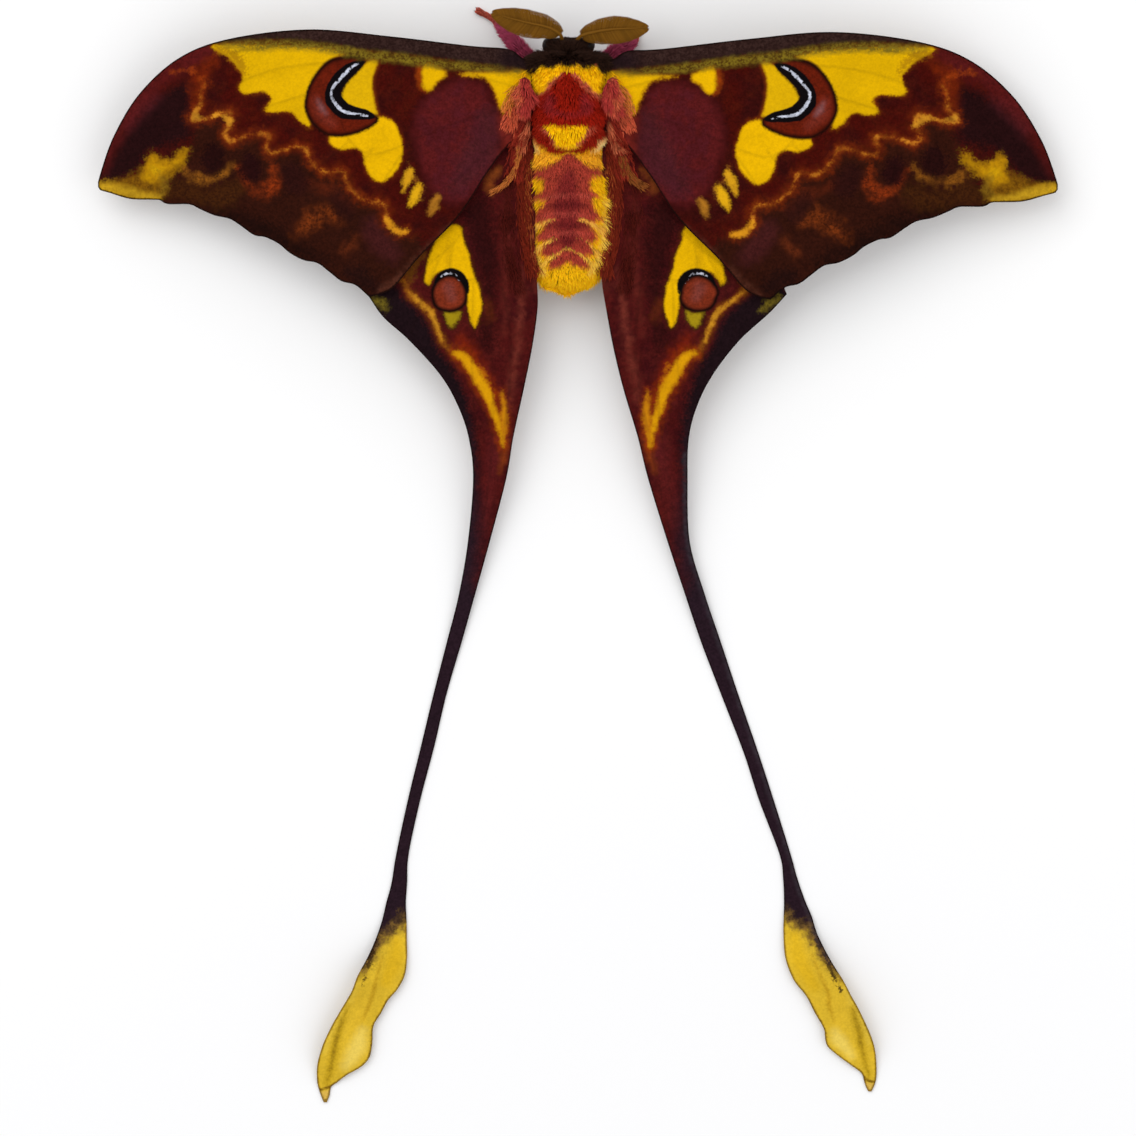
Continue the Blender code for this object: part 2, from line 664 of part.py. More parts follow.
def lock(root, aim, out, size, draw):
    """One flat lock of fur, tapered and laid over the skin with its root sunk in."""
    length, width = (value * (1 + draw.uniform(-LOCK_SPARE, LOCK_SPARE)) for value in size)
    across = out.cross(aim).normalized()
    aim = (aim + across * draw.uniform(-LOCK_SWAY, LOCK_SWAY)).normalized()
    rings = []
    for share, height, breadth, depth in LOCK_FORM:
        centre = root + aim * length * share + out * height
        edge = across * width * breadth / 2
        thick = out * depth / 2
        rings.append([tuple(centre + edge), tuple(centre + thick), tuple(centre - edge),
                      tuple(centre - thick)])
    return lofted("lock", rings)


def mirrored(point, side):
    """A one-sided place put on its side of the midline."""
    return np.array((SIDES[side] * point[0], point[1], point[2]))


def thorax():
    """The thorax with flat wing pads on its sides and the stubs of six coxae below."""
    rings = []
    for row in THORAX_ROWS:
        ring = [(max(-PAD_X, min(PAD_X, x)), y, z) for x, y, z in oval_ring(*row)]
        rings.append(ring)
    body = lofted("thorax", rings)
    coxae = []
    for pair, side in LEG_PATHS:
        path, cut = limb_path(pair, side)
        coxae.append(tube("coxa", path, 0.0, cut, (COXA_RADIUS, LEG_RADII[0]), rings=4))
    return combine(body, coxae + thorax_locks())


def thorax_locks():
    """Fur laid back over the thorax in staggered rows, and a tuft behind each shoulder."""
    draw = random.Random(LOCK_SEED)
    locks = []
    for number, y in enumerate(THORAX_LOCK_ROWS):
        angles = THORAX_LOCK_ANGLES
        if number % 2:
            angles = [(a + b) / 2 for a, b in zip(angles, angles[1:])]
        for degrees in angles:
            root, out = on_surface(THORAX_ROWS, y, degrees)
            locks.append(lock(root, Vector((0, -1, 0)), out, THORAX_LOCK, draw))
    for degrees, sign in ((42, 1), (138, -1)):
        root, out = on_surface(THORAX_ROWS, SHOULDER_LOCK_Y, degrees)
        aim = Vector((0.42 * sign, -0.9, 0.05)).normalized()
        locks.append(lock(root, aim, out, SHOULDER_LOCK, draw))
    return locks


def abdomen_rows():
    """Cross-sections of the abdomen: seven rings that swell a little between their seams."""
    length = ABDOMEN_FRONT - ABDOMEN_TIP
    total = SEGMENT_COUNT * ROWS_PER_SEGMENT
    rows = []
    for k in range(total + 1):
        along = 1.0 - (1.0 - k / total) ** 1.25
        girth = 0.95 + 0.05 * math.sin(math.pi * min(1.0, along * 1.4))
        end = max(0.0, (along - 0.76) / 0.24)
        girth *= math.sqrt(max(0.02, 1.0 - end ** 2.2))
        seam = ABDOMEN_RING_STEP if k % ROWS_PER_SEGMENT == 0 and 0 < k < total else 0.0
        z = ABDOMEN_ROOT_Z + (ABDOMEN_TIP_Z - ABDOMEN_ROOT_Z) * along
        rows.append((ABDOMEN_FRONT - length * along, ABDOMEN_HALF_WIDTH * girth - seam,
                     ABDOMEN_HALF_HEIGHT * girth - seam, z))
    return rows


def abdomen():
    """The abdomen with a ring of locks behind each seam and a short brush at its end."""
    rows = abdomen_rows()
    rings = [oval_ring(*row, shift_x=ABDOMEN_SHIFT_X) for row in rows]
    draw = random.Random(LOCK_SEED + 1)
    locks = []
    angles = sorted({*RING_LOCK_ANGLES, *(180 - angle for angle in RING_LOCK_ANGLES)})
    for y in RING_LOCK_LEVELS:
        for degrees in angles:
            root, out = on_surface(rows, y, degrees, ABDOMEN_SHIFT_X)
            splay = RING_LOCK_SPLAY * math.cos(math.radians(degrees)) ** 3
            aim = Vector((splay, -1, 0)).normalized()
            locks.append(lock(root, aim, out, RING_LOCK, draw))
    for k in range(TIP_LOCK_COUNT):
        degrees = 90 + 360 * k / TIP_LOCK_COUNT
        root, out = on_surface(rows, TIP_LOCK_Y, degrees, ABDOMEN_SHIFT_X)
        aim = (Vector((0, -1, 0)) - out * TIP_LOCK_TURN).normalized()
        locks.append(lock(root, aim, out, TIP_LOCK, draw))
    return combine(lofted("abdomen", rings), locks)


def head():
    """The head with eye cups, two scape stubs and a pair of upturned palps."""
    body = lofted("head", [oval_ring(*row) for row in HEAD_ROWS])
    added = []
    for side in SIDES:
        path, cut = rachis_path(side)
        added.append(tube("scape", path, 0.0, cut, (0.5, RACHIS_RADII[0]), rings=4))
        palp = smooth_path([mirrored(p, side) for p in PALP_PATH], 0.4)
        added.append(tube("palp", palp, 0.0, float(path_lengths(palp)[-1]), PALP_RADII))
    combine(body, added)
    sockets = [ellipsoid("socket", mirrored(EYE_PLACE, side), (EYE_RADIUS + GAP,) * 3)
               for side in SIDES]
    return combine(body, sockets, "DIFFERENCE")


def rachis_path(side):
    """The smooth middle line of a feeler from inside the head, and where its scape ends."""
    marks = [mirrored(p, side) for p in (SCAPE_ROOT, SCAPE_END, *FEELER_PATHS[side])]
    path = smooth_path(marks, 0.4)
    return path, length_at(path, marks[1])


def feeler(side):
    """A feathered feeler: a thin rod with a row of flat rays along each edge."""
    path, cut = rachis_path(side)
    low = cut + GAP
    high = float(path_lengths(path)[-1])
    rod = tube("antenna_" + side, path, low, high, RACHIS_RADII, RACHIS_RINGS, sides=6)
    rays = []
    for k in range(RAMI):
        t = (k + 0.9) / (RAMI + 0.7)
        centre, tangent, across, upward = frame_at(path, low + (high - low) * t)
        reach = RAMUS_REACH * math.sin(math.pi * (0.12 + 0.84 * t) ** 0.8) ** 0.6
        for sign in (-1, 1):
            aim = (math.cos(RAMUS_LEAN) * sign * across + math.sin(RAMUS_LEAN) * tangent
                   - RAMUS_DIP * upward).normalized()
            rays.append(ray(centre - aim * 0.1, aim, tangent, upward, reach))
    return combine(rod, rays)


def ray(root, aim, tangent, upward, reach):
    """One flat ray of a feeler, four-sided and tapering to its end."""
    rings = []
    for along, width, depth in ((0.0, 1.0, 0.5), (0.6, 0.95, 0.42), (1.0, 0.45, 0.25)):
        centre = root + aim * reach * along
        side_step = tangent * RAMUS_WIDTH * width / 2
        lift = upward * depth / 2
        rings.append([tuple(centre + side_step), tuple(centre + lift),
                      tuple(centre - side_step), tuple(centre - lift)])
    return lofted("ray", rings)


def limb_path(pair, side):
    """The smooth middle line of a limb from inside the thorax, and where its coxa ends."""
    marks = [mirrored(p, side) for p in (COXA_ROOTS[pair], *LEG_PATHS[(pair, side)])]
    path = smooth_path(marks, 0.6)
    return path, length_at(path, marks[1])


def leg(pair, side):
    """Femur, tibia and tarsus of one leg, cut square from one smooth limb."""
    path, start = limb_path(pair, side)
    total = float(path_lengths(path)[-1])
    bounds = (start, *(start + cut * (total - start) for cut in LEG_CUTS), total)
    girth = np.linspace(start, total, len(LEG_RADII))
    pieces = []
    for name, low, high in zip(("femur", "tibia", "tarsus"), bounds, bounds[1:]):
        node = f"{pair}leg_{name}_{side}"
        radii = np.interp(np.linspace(low + GAP, high, LEG_RINGS), girth, LEG_RADII)
        pieces.append(tube(node, path, low + GAP, high, radii, LEG_RINGS, floor=0.0))
    return pieces


def tegula(side):
    """A fur pad over one forewing root, flat against the thorax and clear of the wing."""
    item = ellipsoid("tegula_" + side, mirrored(TEGULA_CENTRE, side), TEGULA_HALF, 14, 8)
    sign = SIDES[side]
    inner = (PAD_X + GAP) * MM
    for vertex in item.data.vertices:
        vertex.co.x = sign * max(sign * vertex.co.x, inner)
        vertex.co.z = max(vertex.co.z, TEGULA_UNDERSIDE * MM)
    keep_largest(item)
    draw = random.Random(LOCK_SEED + 2)
    locks = []
    for x, y in TEGULA_LOCK_PLACES:
        rise = math.sqrt(1 - (x / TEGULA_HALF[0]) ** 2 - (y / TEGULA_HALF[1]) ** 2)
        root = Vector(mirrored(TEGULA_CENTRE, side)) + Vector((sign * x, y,
                                                               rise * TEGULA_HALF[2]))
        aim = Vector((0.22 * sign, -0.97, 0.0)).normalized()
        locks.append(lock(root, aim, Vector((0, 0, 1)), TEGULA_LOCK, draw))
    return combine(item, locks)


def build():
    """Make every part of the moth and hang it on one empty."""
    clear_scene()
    moth = bpy.data.objects.new("moth", None)
    moth.location = tuple(c * MM for c in BODY_PLACE)
    bpy.context.scene.collection.objects.link(moth)
    dress(thorax(), "thorax_fur", moth)
    dress(lofted("collar", [oval_ring(*row) for row in COLLAR_ROWS]), "collar_fur", moth)
    dress(head(), "collar_fur", moth)
    dress(abdomen(), "abdomen_fur", moth)
    for side in SIDES:
        dress(ellipsoid("eye_" + side, mirrored(EYE_PLACE, side), (EYE_RADIUS,) * 3),
              "eye_black", moth)
        dress(feeler(side), "feeler_brown", moth)
        dress(tegula(side), "tegula_fur", moth)
        dress(forewing(side), "forewing_scales", moth)
        dress(hindwing(side), "hindwing_scales", moth)
        for item, material_name in tail(side):
            dress(item, material_name, moth)
        for pair in COXA_ROOTS:
            for item in leg(pair, side):
                dress(item, "leg_magenta", moth)


build()
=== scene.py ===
"""A moon moth, Actias isis, at rest with its wings spread: the looks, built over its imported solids.

Lengths are in millimetres and become metres when a mesh is made. Places are given in the moth's own
frame: X across from its midline, Y toward the head, Z up from the floor. Wing markings are outlines
on the left wing, read as pixels of the 1136 x 1136 photograph, which PhotoFrame carries to that frame.
"""

import logging
import math
from dataclasses import dataclass
from enum import Enum
from typing import Callable, ClassVar, Mapping, Optional, Sequence, Union

import bmesh
import bpy
import numpy as np
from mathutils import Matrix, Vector
from mathutils.geometry import delaunay_2d_cdt


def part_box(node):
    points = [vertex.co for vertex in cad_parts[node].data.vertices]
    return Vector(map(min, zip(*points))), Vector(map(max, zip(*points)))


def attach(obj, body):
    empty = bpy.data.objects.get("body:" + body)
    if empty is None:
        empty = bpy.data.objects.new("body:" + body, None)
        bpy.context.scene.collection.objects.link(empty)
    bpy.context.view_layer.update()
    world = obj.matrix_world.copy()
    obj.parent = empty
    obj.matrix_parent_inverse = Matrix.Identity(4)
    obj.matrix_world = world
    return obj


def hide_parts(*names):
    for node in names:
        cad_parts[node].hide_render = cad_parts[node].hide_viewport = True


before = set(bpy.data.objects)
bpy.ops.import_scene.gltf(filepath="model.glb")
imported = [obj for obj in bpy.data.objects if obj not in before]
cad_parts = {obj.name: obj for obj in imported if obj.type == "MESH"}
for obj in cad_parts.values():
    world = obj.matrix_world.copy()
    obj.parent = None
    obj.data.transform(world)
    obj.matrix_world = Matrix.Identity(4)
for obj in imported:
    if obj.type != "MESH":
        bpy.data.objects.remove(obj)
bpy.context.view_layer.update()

MM = 0.001
BODY = "root"
log = logging.getLogger("moth")

Points = np.ndarray
Marks = Sequence[Sequence[float]]
Rgb = tuple[int, int, int]
Value = Union[float, int, bool, str, Sequence[float], bpy.types.NodeSocket, bpy.types.ID]
Inputs = Mapping[Union[str, int], Value]


class Side(Enum):
    """The moth's own left, at -X, and right, at +X."""

    LEFT = -1
    RIGHT = 1

    @property
    def label(self) -> str:
        """The word that ends a piece's name."""
        return self.name.lower()


@dataclass(frozen=True)
class PhotoFrame:
    """The photograph's pixels as places in the moth's frame, in millimetres."""

    millimetres_per_pixel: float = 0.156
    midline_pixel: float = 568.5
    level_pixel: float = 555.0
    side_pixels: int = 1136

    def place(self, marks: Marks) -> Points:
        """Pixels as (X, Y) places."""
        table = np.asarray(marks, float)
        offset = np.array((self.midline_pixel, self.level_pixel))
        return (table - offset) * (self.millimetres_per_pixel, -self.millimetres_per_pixel)

    def on_left_wing(self, marks: Marks) -> Points:
        """Pixels as (distance from the midline, Y) on the left wing."""
        return self.place(marks) * (-1.0, 1.0)


PHOTO = PhotoFrame()
# The middle of the right eye in the moth's frame
EYE_PLACE = (2.75, 79.35, 8.9)


def moth_place() -> Vector:
    """Where the moth's frame lies in the row's frame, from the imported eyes, in millimetres."""
    corners = [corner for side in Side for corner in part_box("eye_" + side.label)]
    middle = sum(corners, Vector()) / len(corners) / MM
    return middle - Vector((0.0, *EYE_PLACE[1:]))


PLACE = moth_place()


# Curves and distances

def smooth_path(points: Marks, step: float, closed: bool = False) -> Points:
    """Points about one step apart on a curve through the given points.

    Args:
        points: The points that the curve passes.
        step: The spacing along the curve.
        closed: Whether the curve comes back to its first point.

    Returns:
        The curve's points, without a repeat of the first one where it is closed.
    """
    marks = np.asarray(points, float)
    if closed:
        marks = np.vstack((marks[-1:], marks, marks[:2]))
    else:
        marks = np.vstack((2 * marks[0] - marks[1], marks, 2 * marks[-1] - marks[-2]))
    path = [] if closed else [marks[1]]
    for before, start, end, after in zip(marks, marks[1:], marks[2:], marks[3:]):
        count = max(1, round(float(np.linalg.norm(end - start)) / step))
        for t in np.arange(1, count + 1) / count:
            path.append(0.5 * (2 * start + (end - before) * t
                               + (2 * before - 5 * start + 4 * end - after) * t ** 2
                               + (3 * start - before - 3 * end + after) * t ** 3))
    return np.array(path)


def distance_to_chain(points: Points, chain: Points, widths: Optional[Points] = None) -> Points:
    """Shortest distance from each point to an open chain of straight runs.

    Args:
        points: The places, one a row.
        chain: The chain's points.
        widths: Half widths at the chain's points, taken off the distance.

    Returns:
        One distance for each place.
    """
    best = np.full(len(points), np.inf)
    for k in range(len(chain) - 1):
        run = chain[k + 1] - chain[k]
        t = np.clip((points - chain[k]) @ run / max(float(run @ run), 1e-12), 0, 1)
        gap = np.linalg.norm(points - chain[k] - t[:, None] * run, axis=1)
        if widths is not None:
            gap = gap - (widths[k] + t * (widths[k + 1] - widths[k]))
        best = np.minimum(best, gap)
    return best


def distance_to_outline(points: Points, outline: Points) -> Points:
    """Distance to a closed outline, below zero inside it."""
    closed = np.vstack((outline, outline[:1]))
    gap = distance_to_chain(points, closed)
    inside = np.zeros(len(points), bool)
    for a, b in zip(closed, closed[1:]):
        crosses = (a[1] > points[:, 1]) != (b[1] > points[:, 1])
        rise = b[1] - a[1] if b[1] != a[1] else 1.0
        inside ^= crosses & (points[:, 0] < (b[0] - a[0]) * (points[:, 1] - a[1]) / rise + a[0])
    return np.where(inside, -gap, gap)


def headings(path: Points) -> Points:
    """The direction of a path at each of its points, one unit long."""
    ahead = np.gradient(path, axis=0)
    return ahead / np.linalg.norm(ahead, axis=1)[:, None]


def beside(path: Points) -> Points:
    """The direction to the left of a flat path at each of its points, one unit long."""
    return headings(path)[:, ::-1] * (-1, 1)


def smoothstep(value: Points, low: float, high: float) -> Points:
    """0 at the low end, 1 at the high end, and an S-curve between."""
    t = np.clip((value - low) / (high - low), 0.0, 1.0)
    return t * t * (3 - 2 * t)


def waves(points: Points, length: float, seed: int) -> Points:
    """A smooth, uneven ripple between about -1 and 1 over places, of that wave length."""
    draw = np.random.default_rng(seed)
    total = np.zeros(len(points))
    for _ in range(6):
        way = draw.normal(size=points.shape[1])
        way *= math.tau / length * draw.uniform(0.6, 1.5) / np.linalg.norm(way)
        total += np.sin(points @ way + draw.uniform(0, math.tau))
    return total / 2.6


# Meshes

def store(mesh: bpy.types.Mesh, values: Mapping[str, Points]) -> None:
    """Store named values at a mesh's points."""
    for key, table in values.items():
        table = np.asarray(table, np.float32)
        kind, slot = ("FLOAT", "value") if table.ndim == 1 else ("FLOAT_VECTOR", "vector")
        mesh.attributes.new(key, kind, "POINT").data.foreach_set(slot, table.ravel())


def put(name: str, data: bpy.types.ID) -> bpy.types.Object:
    """Make an object of some data and add it to the scene."""
    item = bpy.data.objects.new(name, data)
    bpy.context.scene.collection.objects.link(item)
    return item


def plain_mesh(name: str, points: Points, faces: Sequence[Sequence[int]]) -> bpy.types.Mesh:
    """Make a smooth mesh from places in metres."""
    mesh = bpy.data.meshes.new(name)
    mesh.from_pydata(np.asarray(points, float).tolist(), [], faces)
    mesh.shade_smooth()
    return mesh


def make_mesh(name: str, points: Points, faces: Sequence[Sequence[int]],
              values: Optional[Mapping[str, Points]] = None) -> bpy.types.Object:
    """Make an object at the origin from places in the moth's frame.

    Args:
        name: The piece's name.
        points: Places in millimetres.
        faces: Corners of each face, turning left round its outward side.
        values: Named values at the points, of one number or three each.

    Returns:
        The new object.
    """
    item = put(name, plain_mesh(name, (points + np.array(PLACE)) * MM, faces))
    store(item.data, values or {})
    return item


def face_outward(mesh: bpy.types.Mesh) -> None:
    """Turn every face of a closed mesh to its outer side."""
    work = bmesh.new()
    work.from_mesh(mesh)
    bmesh.ops.recalc_face_normals(work, faces=work.faces)
    work.to_mesh(mesh)
    work.free()


def ring_squares(rings: int, count: int, closed: bool = True) -> Points:
    """The faces between rings of equal length, by the turn and ring of each of their corners.

    Args:
        rings: The number of rings.
        count: Points in each ring.
        closed: Whether each ring comes back to its first point.

    Returns:
        Four corners for each face. A closed ring's last face ends one turn past its last point.
    """
    starts = [(k, r) for r in range(rings - 1) for k in range(count if closed else count - 1)]
    return np.array(starts)[:, None] + ((0, 0), (1, 0), (1, 1), (0, 1))


def ring_faces(rings: int, count: int, closed: bool = True) -> list[tuple[int, ...]]:
    """The same faces as numbers of points, the first ring's points coming first."""
    return [tuple(r * count + k % count for k, r in square)
            for square in ring_squares(rings, count, closed).tolist()]


def unwrap(mesh: bpy.types.Mesh, places: Points) -> None:
    """Store a skin's unwrap, one place for each corner of each face."""
    layer = mesh.uv_layers.new(name="SkinUV")
    layer.uv.foreach_set("vector", np.asarray(places, np.float32).ravel())


def enter(item: bpy.types.Object, replaced: Sequence[str] = ()) -> None:
    """Give a piece its body and hide the nodes that it stands for."""
    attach(item, BODY)
    if replaced:
        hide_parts(*replaced)
    log.info("%s: %d faces", item.name, len(item.data.polygons))


def dress(item: bpy.types.Object, material: bpy.types.Material,
          replaced: Sequence[str] = ()) -> None:
    """Give a piece its material, then its body, and hide its replaced nodes."""
    item.data.materials.clear()
    item.data.materials.append(material)
    enter(item, replaced)


# Nodes

class NodeKit:
    """Adds nodes to one tree and joins them, with plain calls for the common ones."""

    def __init__(self, tree: bpy.types.NodeTree) -> None:
        """Take the tree that the nodes go into."""
        self.tree = tree

    def feed(self, node: bpy.types.Node, inputs: Inputs) -> None:
        """Set a node's inputs, by name or number, to values or to the outputs that feed them."""
        for key, value in inputs.items():
            if isinstance(value, bpy.types.NodeSocket):
                self.tree.links.new(value, node.inputs[key])
            else:
                node.inputs[key].default_value = value

    def add(self, kind: str, inputs: Optional[Inputs] = None,
            **settings: object) -> bpy.types.Node:
        """Add a node.

        Args:
            kind: Blender's name for the node.
            inputs: For an input's name or number, a value or the output that feeds it.
            settings: The node's own properties.

        Returns:
            The new node.
        """
        node = self.tree.nodes.new(kind)
        for key, value in settings.items():
            setattr(node, key, value)
        self.feed(node, inputs or {})
        return node

    def maths(self, operation: str, first: Value, second: Value = 0.0) -> bpy.types.NodeSocket:
        """One sum, product or other operation on two numbers."""
        return self.add("ShaderNodeMath", {0: first, 1: second}, operation=operation).outputs[0]

    def times(self, first: Value, second: Value) -> bpy.types.NodeSocket:
        """The product of two numbers."""
        return self.maths("MULTIPLY", first, second)

    def vectors(self, operation: str, first: Value, second: Value) -> bpy.types.NodeSocket:
        """One operation on two vectors."""
        return self.add("ShaderNodeVectorMath", {0: first, 1: second},
                        operation=operation).outputs[0]

    def ramp(self, value: Value, low: Value, high: Value, start: Value = 0.0,
             end: Value = 1.0) -> bpy.types.NodeSocket:
        """An S-curve from one value to another while the input passes from low to high."""
        node = self.add("ShaderNodeMapRange", {"Value": value, "From Min": low, "From Max": high,
                                               "To Min": start, "To Max": end},
                        interpolation_type="SMOOTHSTEP")
        return node.outputs[0]

    def blend(self, under: Value, over: Value, mask: Value,
              mode: str = "MIX") -> bpy.types.NodeSocket:
        """One colour laid over another through a mask."""
        node = self.add("ShaderNodeMix", {0: mask, 6: under, 7: over}, data_type="RGBA",
                        blend_type=mode)
        return node.outputs[2]

    def shade(self, colour: Value, tone: Value) -> bpy.types.NodeSocket:
        """A colour made darker or lighter by a factor."""
        grey = self.add("ShaderNodeCombineColor", {0: tone, 1: tone, 2: tone}).outputs[0]
        return self.blend(colour, grey, 1.0, "MULTIPLY")

    def attribute(self, name: str) -> bpy.types.NodeSocket:
        """A number that the mesh carries, in a shader."""
        return self.add("ShaderNodeAttribute", attribute_name=name).outputs["Fac"]

    def noise(self, position: Value, size: float, detail: float = 2.0) -> bpy.types.NodeSocket:
        """Noise from 0 to 1 whose lumps are about that many millimetres across."""
        return self.add("ShaderNodeTexNoise", {"Vector": position, "Scale": 1.0 / (size * MM),
                                               "Detail": detail}).outputs["Fac"]

    def cells(self, position: Value, size: float) -> bpy.types.NodeSocket:
        """Distance from the middles of uneven cells about that many millimetres across."""
        return self.add("ShaderNodeTexVoronoi", {"Vector": position, "Scale": 1.0 / (size * MM)}
                        ).outputs["Distance"]

    def bump(self, height: Value, strength: float, depth: float) -> bpy.types.NodeSocket:
        """The normal of a relief of that depth in millimetres."""
        return self.add("ShaderNodeBump", {"Height": height, "Strength": strength,
                                           "Distance": depth * MM}).outputs[0]

    def named(self, name: Value, kind: str = "FLOAT") -> bpy.types.NodeSocket:
        """A value that the mesh carries, in geometry nodes."""
        return self.add("GeometryNodeInputNamedAttribute", {"Name": name},
                        data_type=kind).outputs["Attribute"]

    def keep(self, geometry: Value, name: str, value: Value, kind: str = "FLOAT",
             domain: str = "POINT") -> bpy.types.NodeSocket:
        """The geometry with a value stored on it."""
        return self.add("GeometryNodeStoreNamedAttribute",
                        {"Geometry": geometry, "Name": name, "Value": value},
                        data_type=kind, domain=domain).outputs[0]

    def chance(self, low: float, high: float, seed: Value, shift: int = 0) -> bpy.types.NodeSocket:
        """A random number for each point, from the seed with a shift of its own."""
        seed = self.maths("ADD", seed, float(shift))
        return self.add("FunctionNodeRandomValue", {2: low, 3: high, "Seed": seed},
                        data_type="FLOAT").outputs[1]

    def grain(self, place: Value, size: float) -> Mapping[str, bpy.types.NodeSocket]:
        """The outputs of the scales' grain at a place, its finest part of that size in millimetres."""
        return self.add("ShaderNodeGroup", {"Position": place, "Size": size},
                        node_tree=scale_grain_group()).outputs


def paint(colour: Rgb) -> tuple[float, float, float, float]:
    """A colour as seen, 0 to 255, as the shader's linear values."""
    linear = [c / 255 / 12.92 if c <= 10 else ((c / 255 + 0.055) / 1.055) ** 2.4 for c in colour]
    return (linear[0], linear[1], linear[2], 1.0)


def start_group(name: str, tree: str, inputs: Mapping[str, str], outputs: Mapping[str, str]
                ) -> tuple[NodeKit, Mapping[str, bpy.types.NodeSocket]]:
    """Start a node group with its inputs and outputs.

    Args:
        name: The group's name.
        tree: Blender's name for its kind of tree.
        inputs: For each input, its kind of socket.
        outputs: For each output, its kind of socket.

    Returns:
        A kit for the group's nodes, and the sockets that give its inputs.
    """
    kit = NodeKit(bpy.data.node_groups.new(name, tree))
    for way, sockets in (("INPUT", inputs), ("OUTPUT", outputs)):
        for key, kind in sockets.items():
            kit.tree.interface.new_socket(key, in_out=way, socket_type="NodeSocket" + kind)
    return kit, kit.add("NodeGroupInput").outputs


def soft_edge_group() -> bpy.types.NodeTree:
    """The mask of a marking: 1 inside its edge, ragged by the grain of the scales."""
    if found := bpy.data.node_groups.get("soft_edge"):
        return found
    inputs = ("Distance", "Grow", "Softness", "Ragged", "Grain", "Speckle", "Fleck", "Strength",
              "Blotch", "Patch")
    kit, entry = start_group("soft_edge", "ShaderNodeTree", dict.fromkeys(inputs, "Float"),
                             {"Mask": "Float"})
    edge = kit.maths("SUBTRACT", entry["Distance"], entry["Grow"])
    edge = kit.maths("ADD", edge, kit.times(entry["Ragged"], entry["Grain"]))
    mask = kit.ramp(edge, kit.times(entry["Softness"], -1.0), entry["Softness"], 1.0, 0.0)
    fleck = kit.ramp(entry["Fleck"], 0.38, 0.6)
    hole = kit.times(entry["Speckle"], kit.maths("SUBTRACT", 1.0, fleck))
    fade = kit.times(entry["Blotch"], kit.ramp(entry["Patch"], 0.4, 0.62))
    for loss in (hole, fade):
        mask = kit.times(mask, kit.maths("SUBTRACT", 1.0, loss))
    kit.add("NodeGroupOutput", {"Mask": kit.times(mask, entry["Strength"])})
    return kit.tree


def scale_grain_group() -> bpy.types.NodeTree:
    """The dusty grain of wing scales: edge grain, colour flecks and a fine height."""
    if found := bpy.data.node_groups.get("scale_grain"):
        return found
    outputs = ("Grain", "Fleck", "Patch", "Blotch", "Height")
    kit, entry = start_group("scale_grain", "ShaderNodeTree",
                             {"Position": "Vector", "Size": "Float"},
                             dict.fromkeys(outputs, "Float"))
    place = entry["Position"]
    per_metre = kit.maths("DIVIDE", 1.0 / MM, entry["Size"])
    fine = kit.add("ShaderNodeTexNoise", {"Vector": place, "Scale": per_metre,
                                          "Detail": 3.0}).outputs["Fac"]
    grain = kit.maths("ADD", kit.times(kit.maths("SUBTRACT", fine, 0.5), 2.6),
                      kit.times(kit.maths("SUBTRACT", kit.noise(place, 1.3), 0.5), 2.4))
    fleck = kit.maths("ADD", kit.times(fine, 0.6), kit.times(kit.noise(place, 0.7), 0.4))
    height = kit.maths("ADD", kit.times(fine, 0.7), kit.cells(place, 0.24))
    kit.add("NodeGroupOutput", {"Grain": grain, "Fleck": fleck, "Patch": kit.noise(place, 5.0),
                                "Blotch": kit.noise(place, 1.9, 3.0), "Height": height})
    return kit.tree


def new_material(name: str, surface: Callable[[NodeKit, Value], Inputs]) -> bpy.types.Material:
    """Make a material.

    Args:
        name: The material's name.
        surface: What gives the Principled shader's inputs, from a kit and the place on the object.

    Returns:
        The new material.
    """
    material = bpy.data.materials.new(name)
    material.use_nodes = True
    kit = NodeKit(material.node_tree)
    place = kit.add("ShaderNodeTexCoord").outputs["Object"]
    kit.feed(material.node_tree.nodes["Principled BSDF"], surface(kit, place))
    return material


# Finishes

@dataclass(frozen=True)
class Shape:
    """A marking's outline, or its middle line with half widths, in the photograph's pixels."""

    marks: Marks
    half_widths: Sequence[float] = ()
    rounded: bool = True

    def distances(self, plan: Points, carry: Callable[[Marks], Points]) -> Points:
        """How far places lie outside this shape.

        Args:
            plan: The places, in millimetres.
            carry: What takes the photograph's pixels to the same frame.

        Returns:
            Distances in millimetres, below zero inside the shape.
        """
        marks = carry(self.marks)
        if not self.half_widths:
            outline = smooth_path(marks, 0.6, closed=True) if self.rounded else marks
            return distance_to_outline(plan, outline)
        widths = np.asarray(self.half_widths, float) * PHOTO.millimetres_per_pixel
        if len(widths) == 1:
            widths = np.repeat(widths, len(marks))
        table = np.column_stack((marks, widths))
        path = smooth_path(table, 0.6) if self.rounded else table
        return distance_to_chain(plan, path[:, :2], path[:, 2])


@dataclass(frozen=True)
class Layer:
    """One colour laid through the mask of a shape."""

    shape: str
    colour: Rgb
    softness: float = 0.16
    ragged: float = 0.10
    grow: float = 0.0
    speckle: float = 0.0
    strength: float = 1.0
    blotch: float = 0.0


LAYER_SETTINGS = ("Grow", "Softness", "Ragged", "Speckle", "Strength", "Blotch")


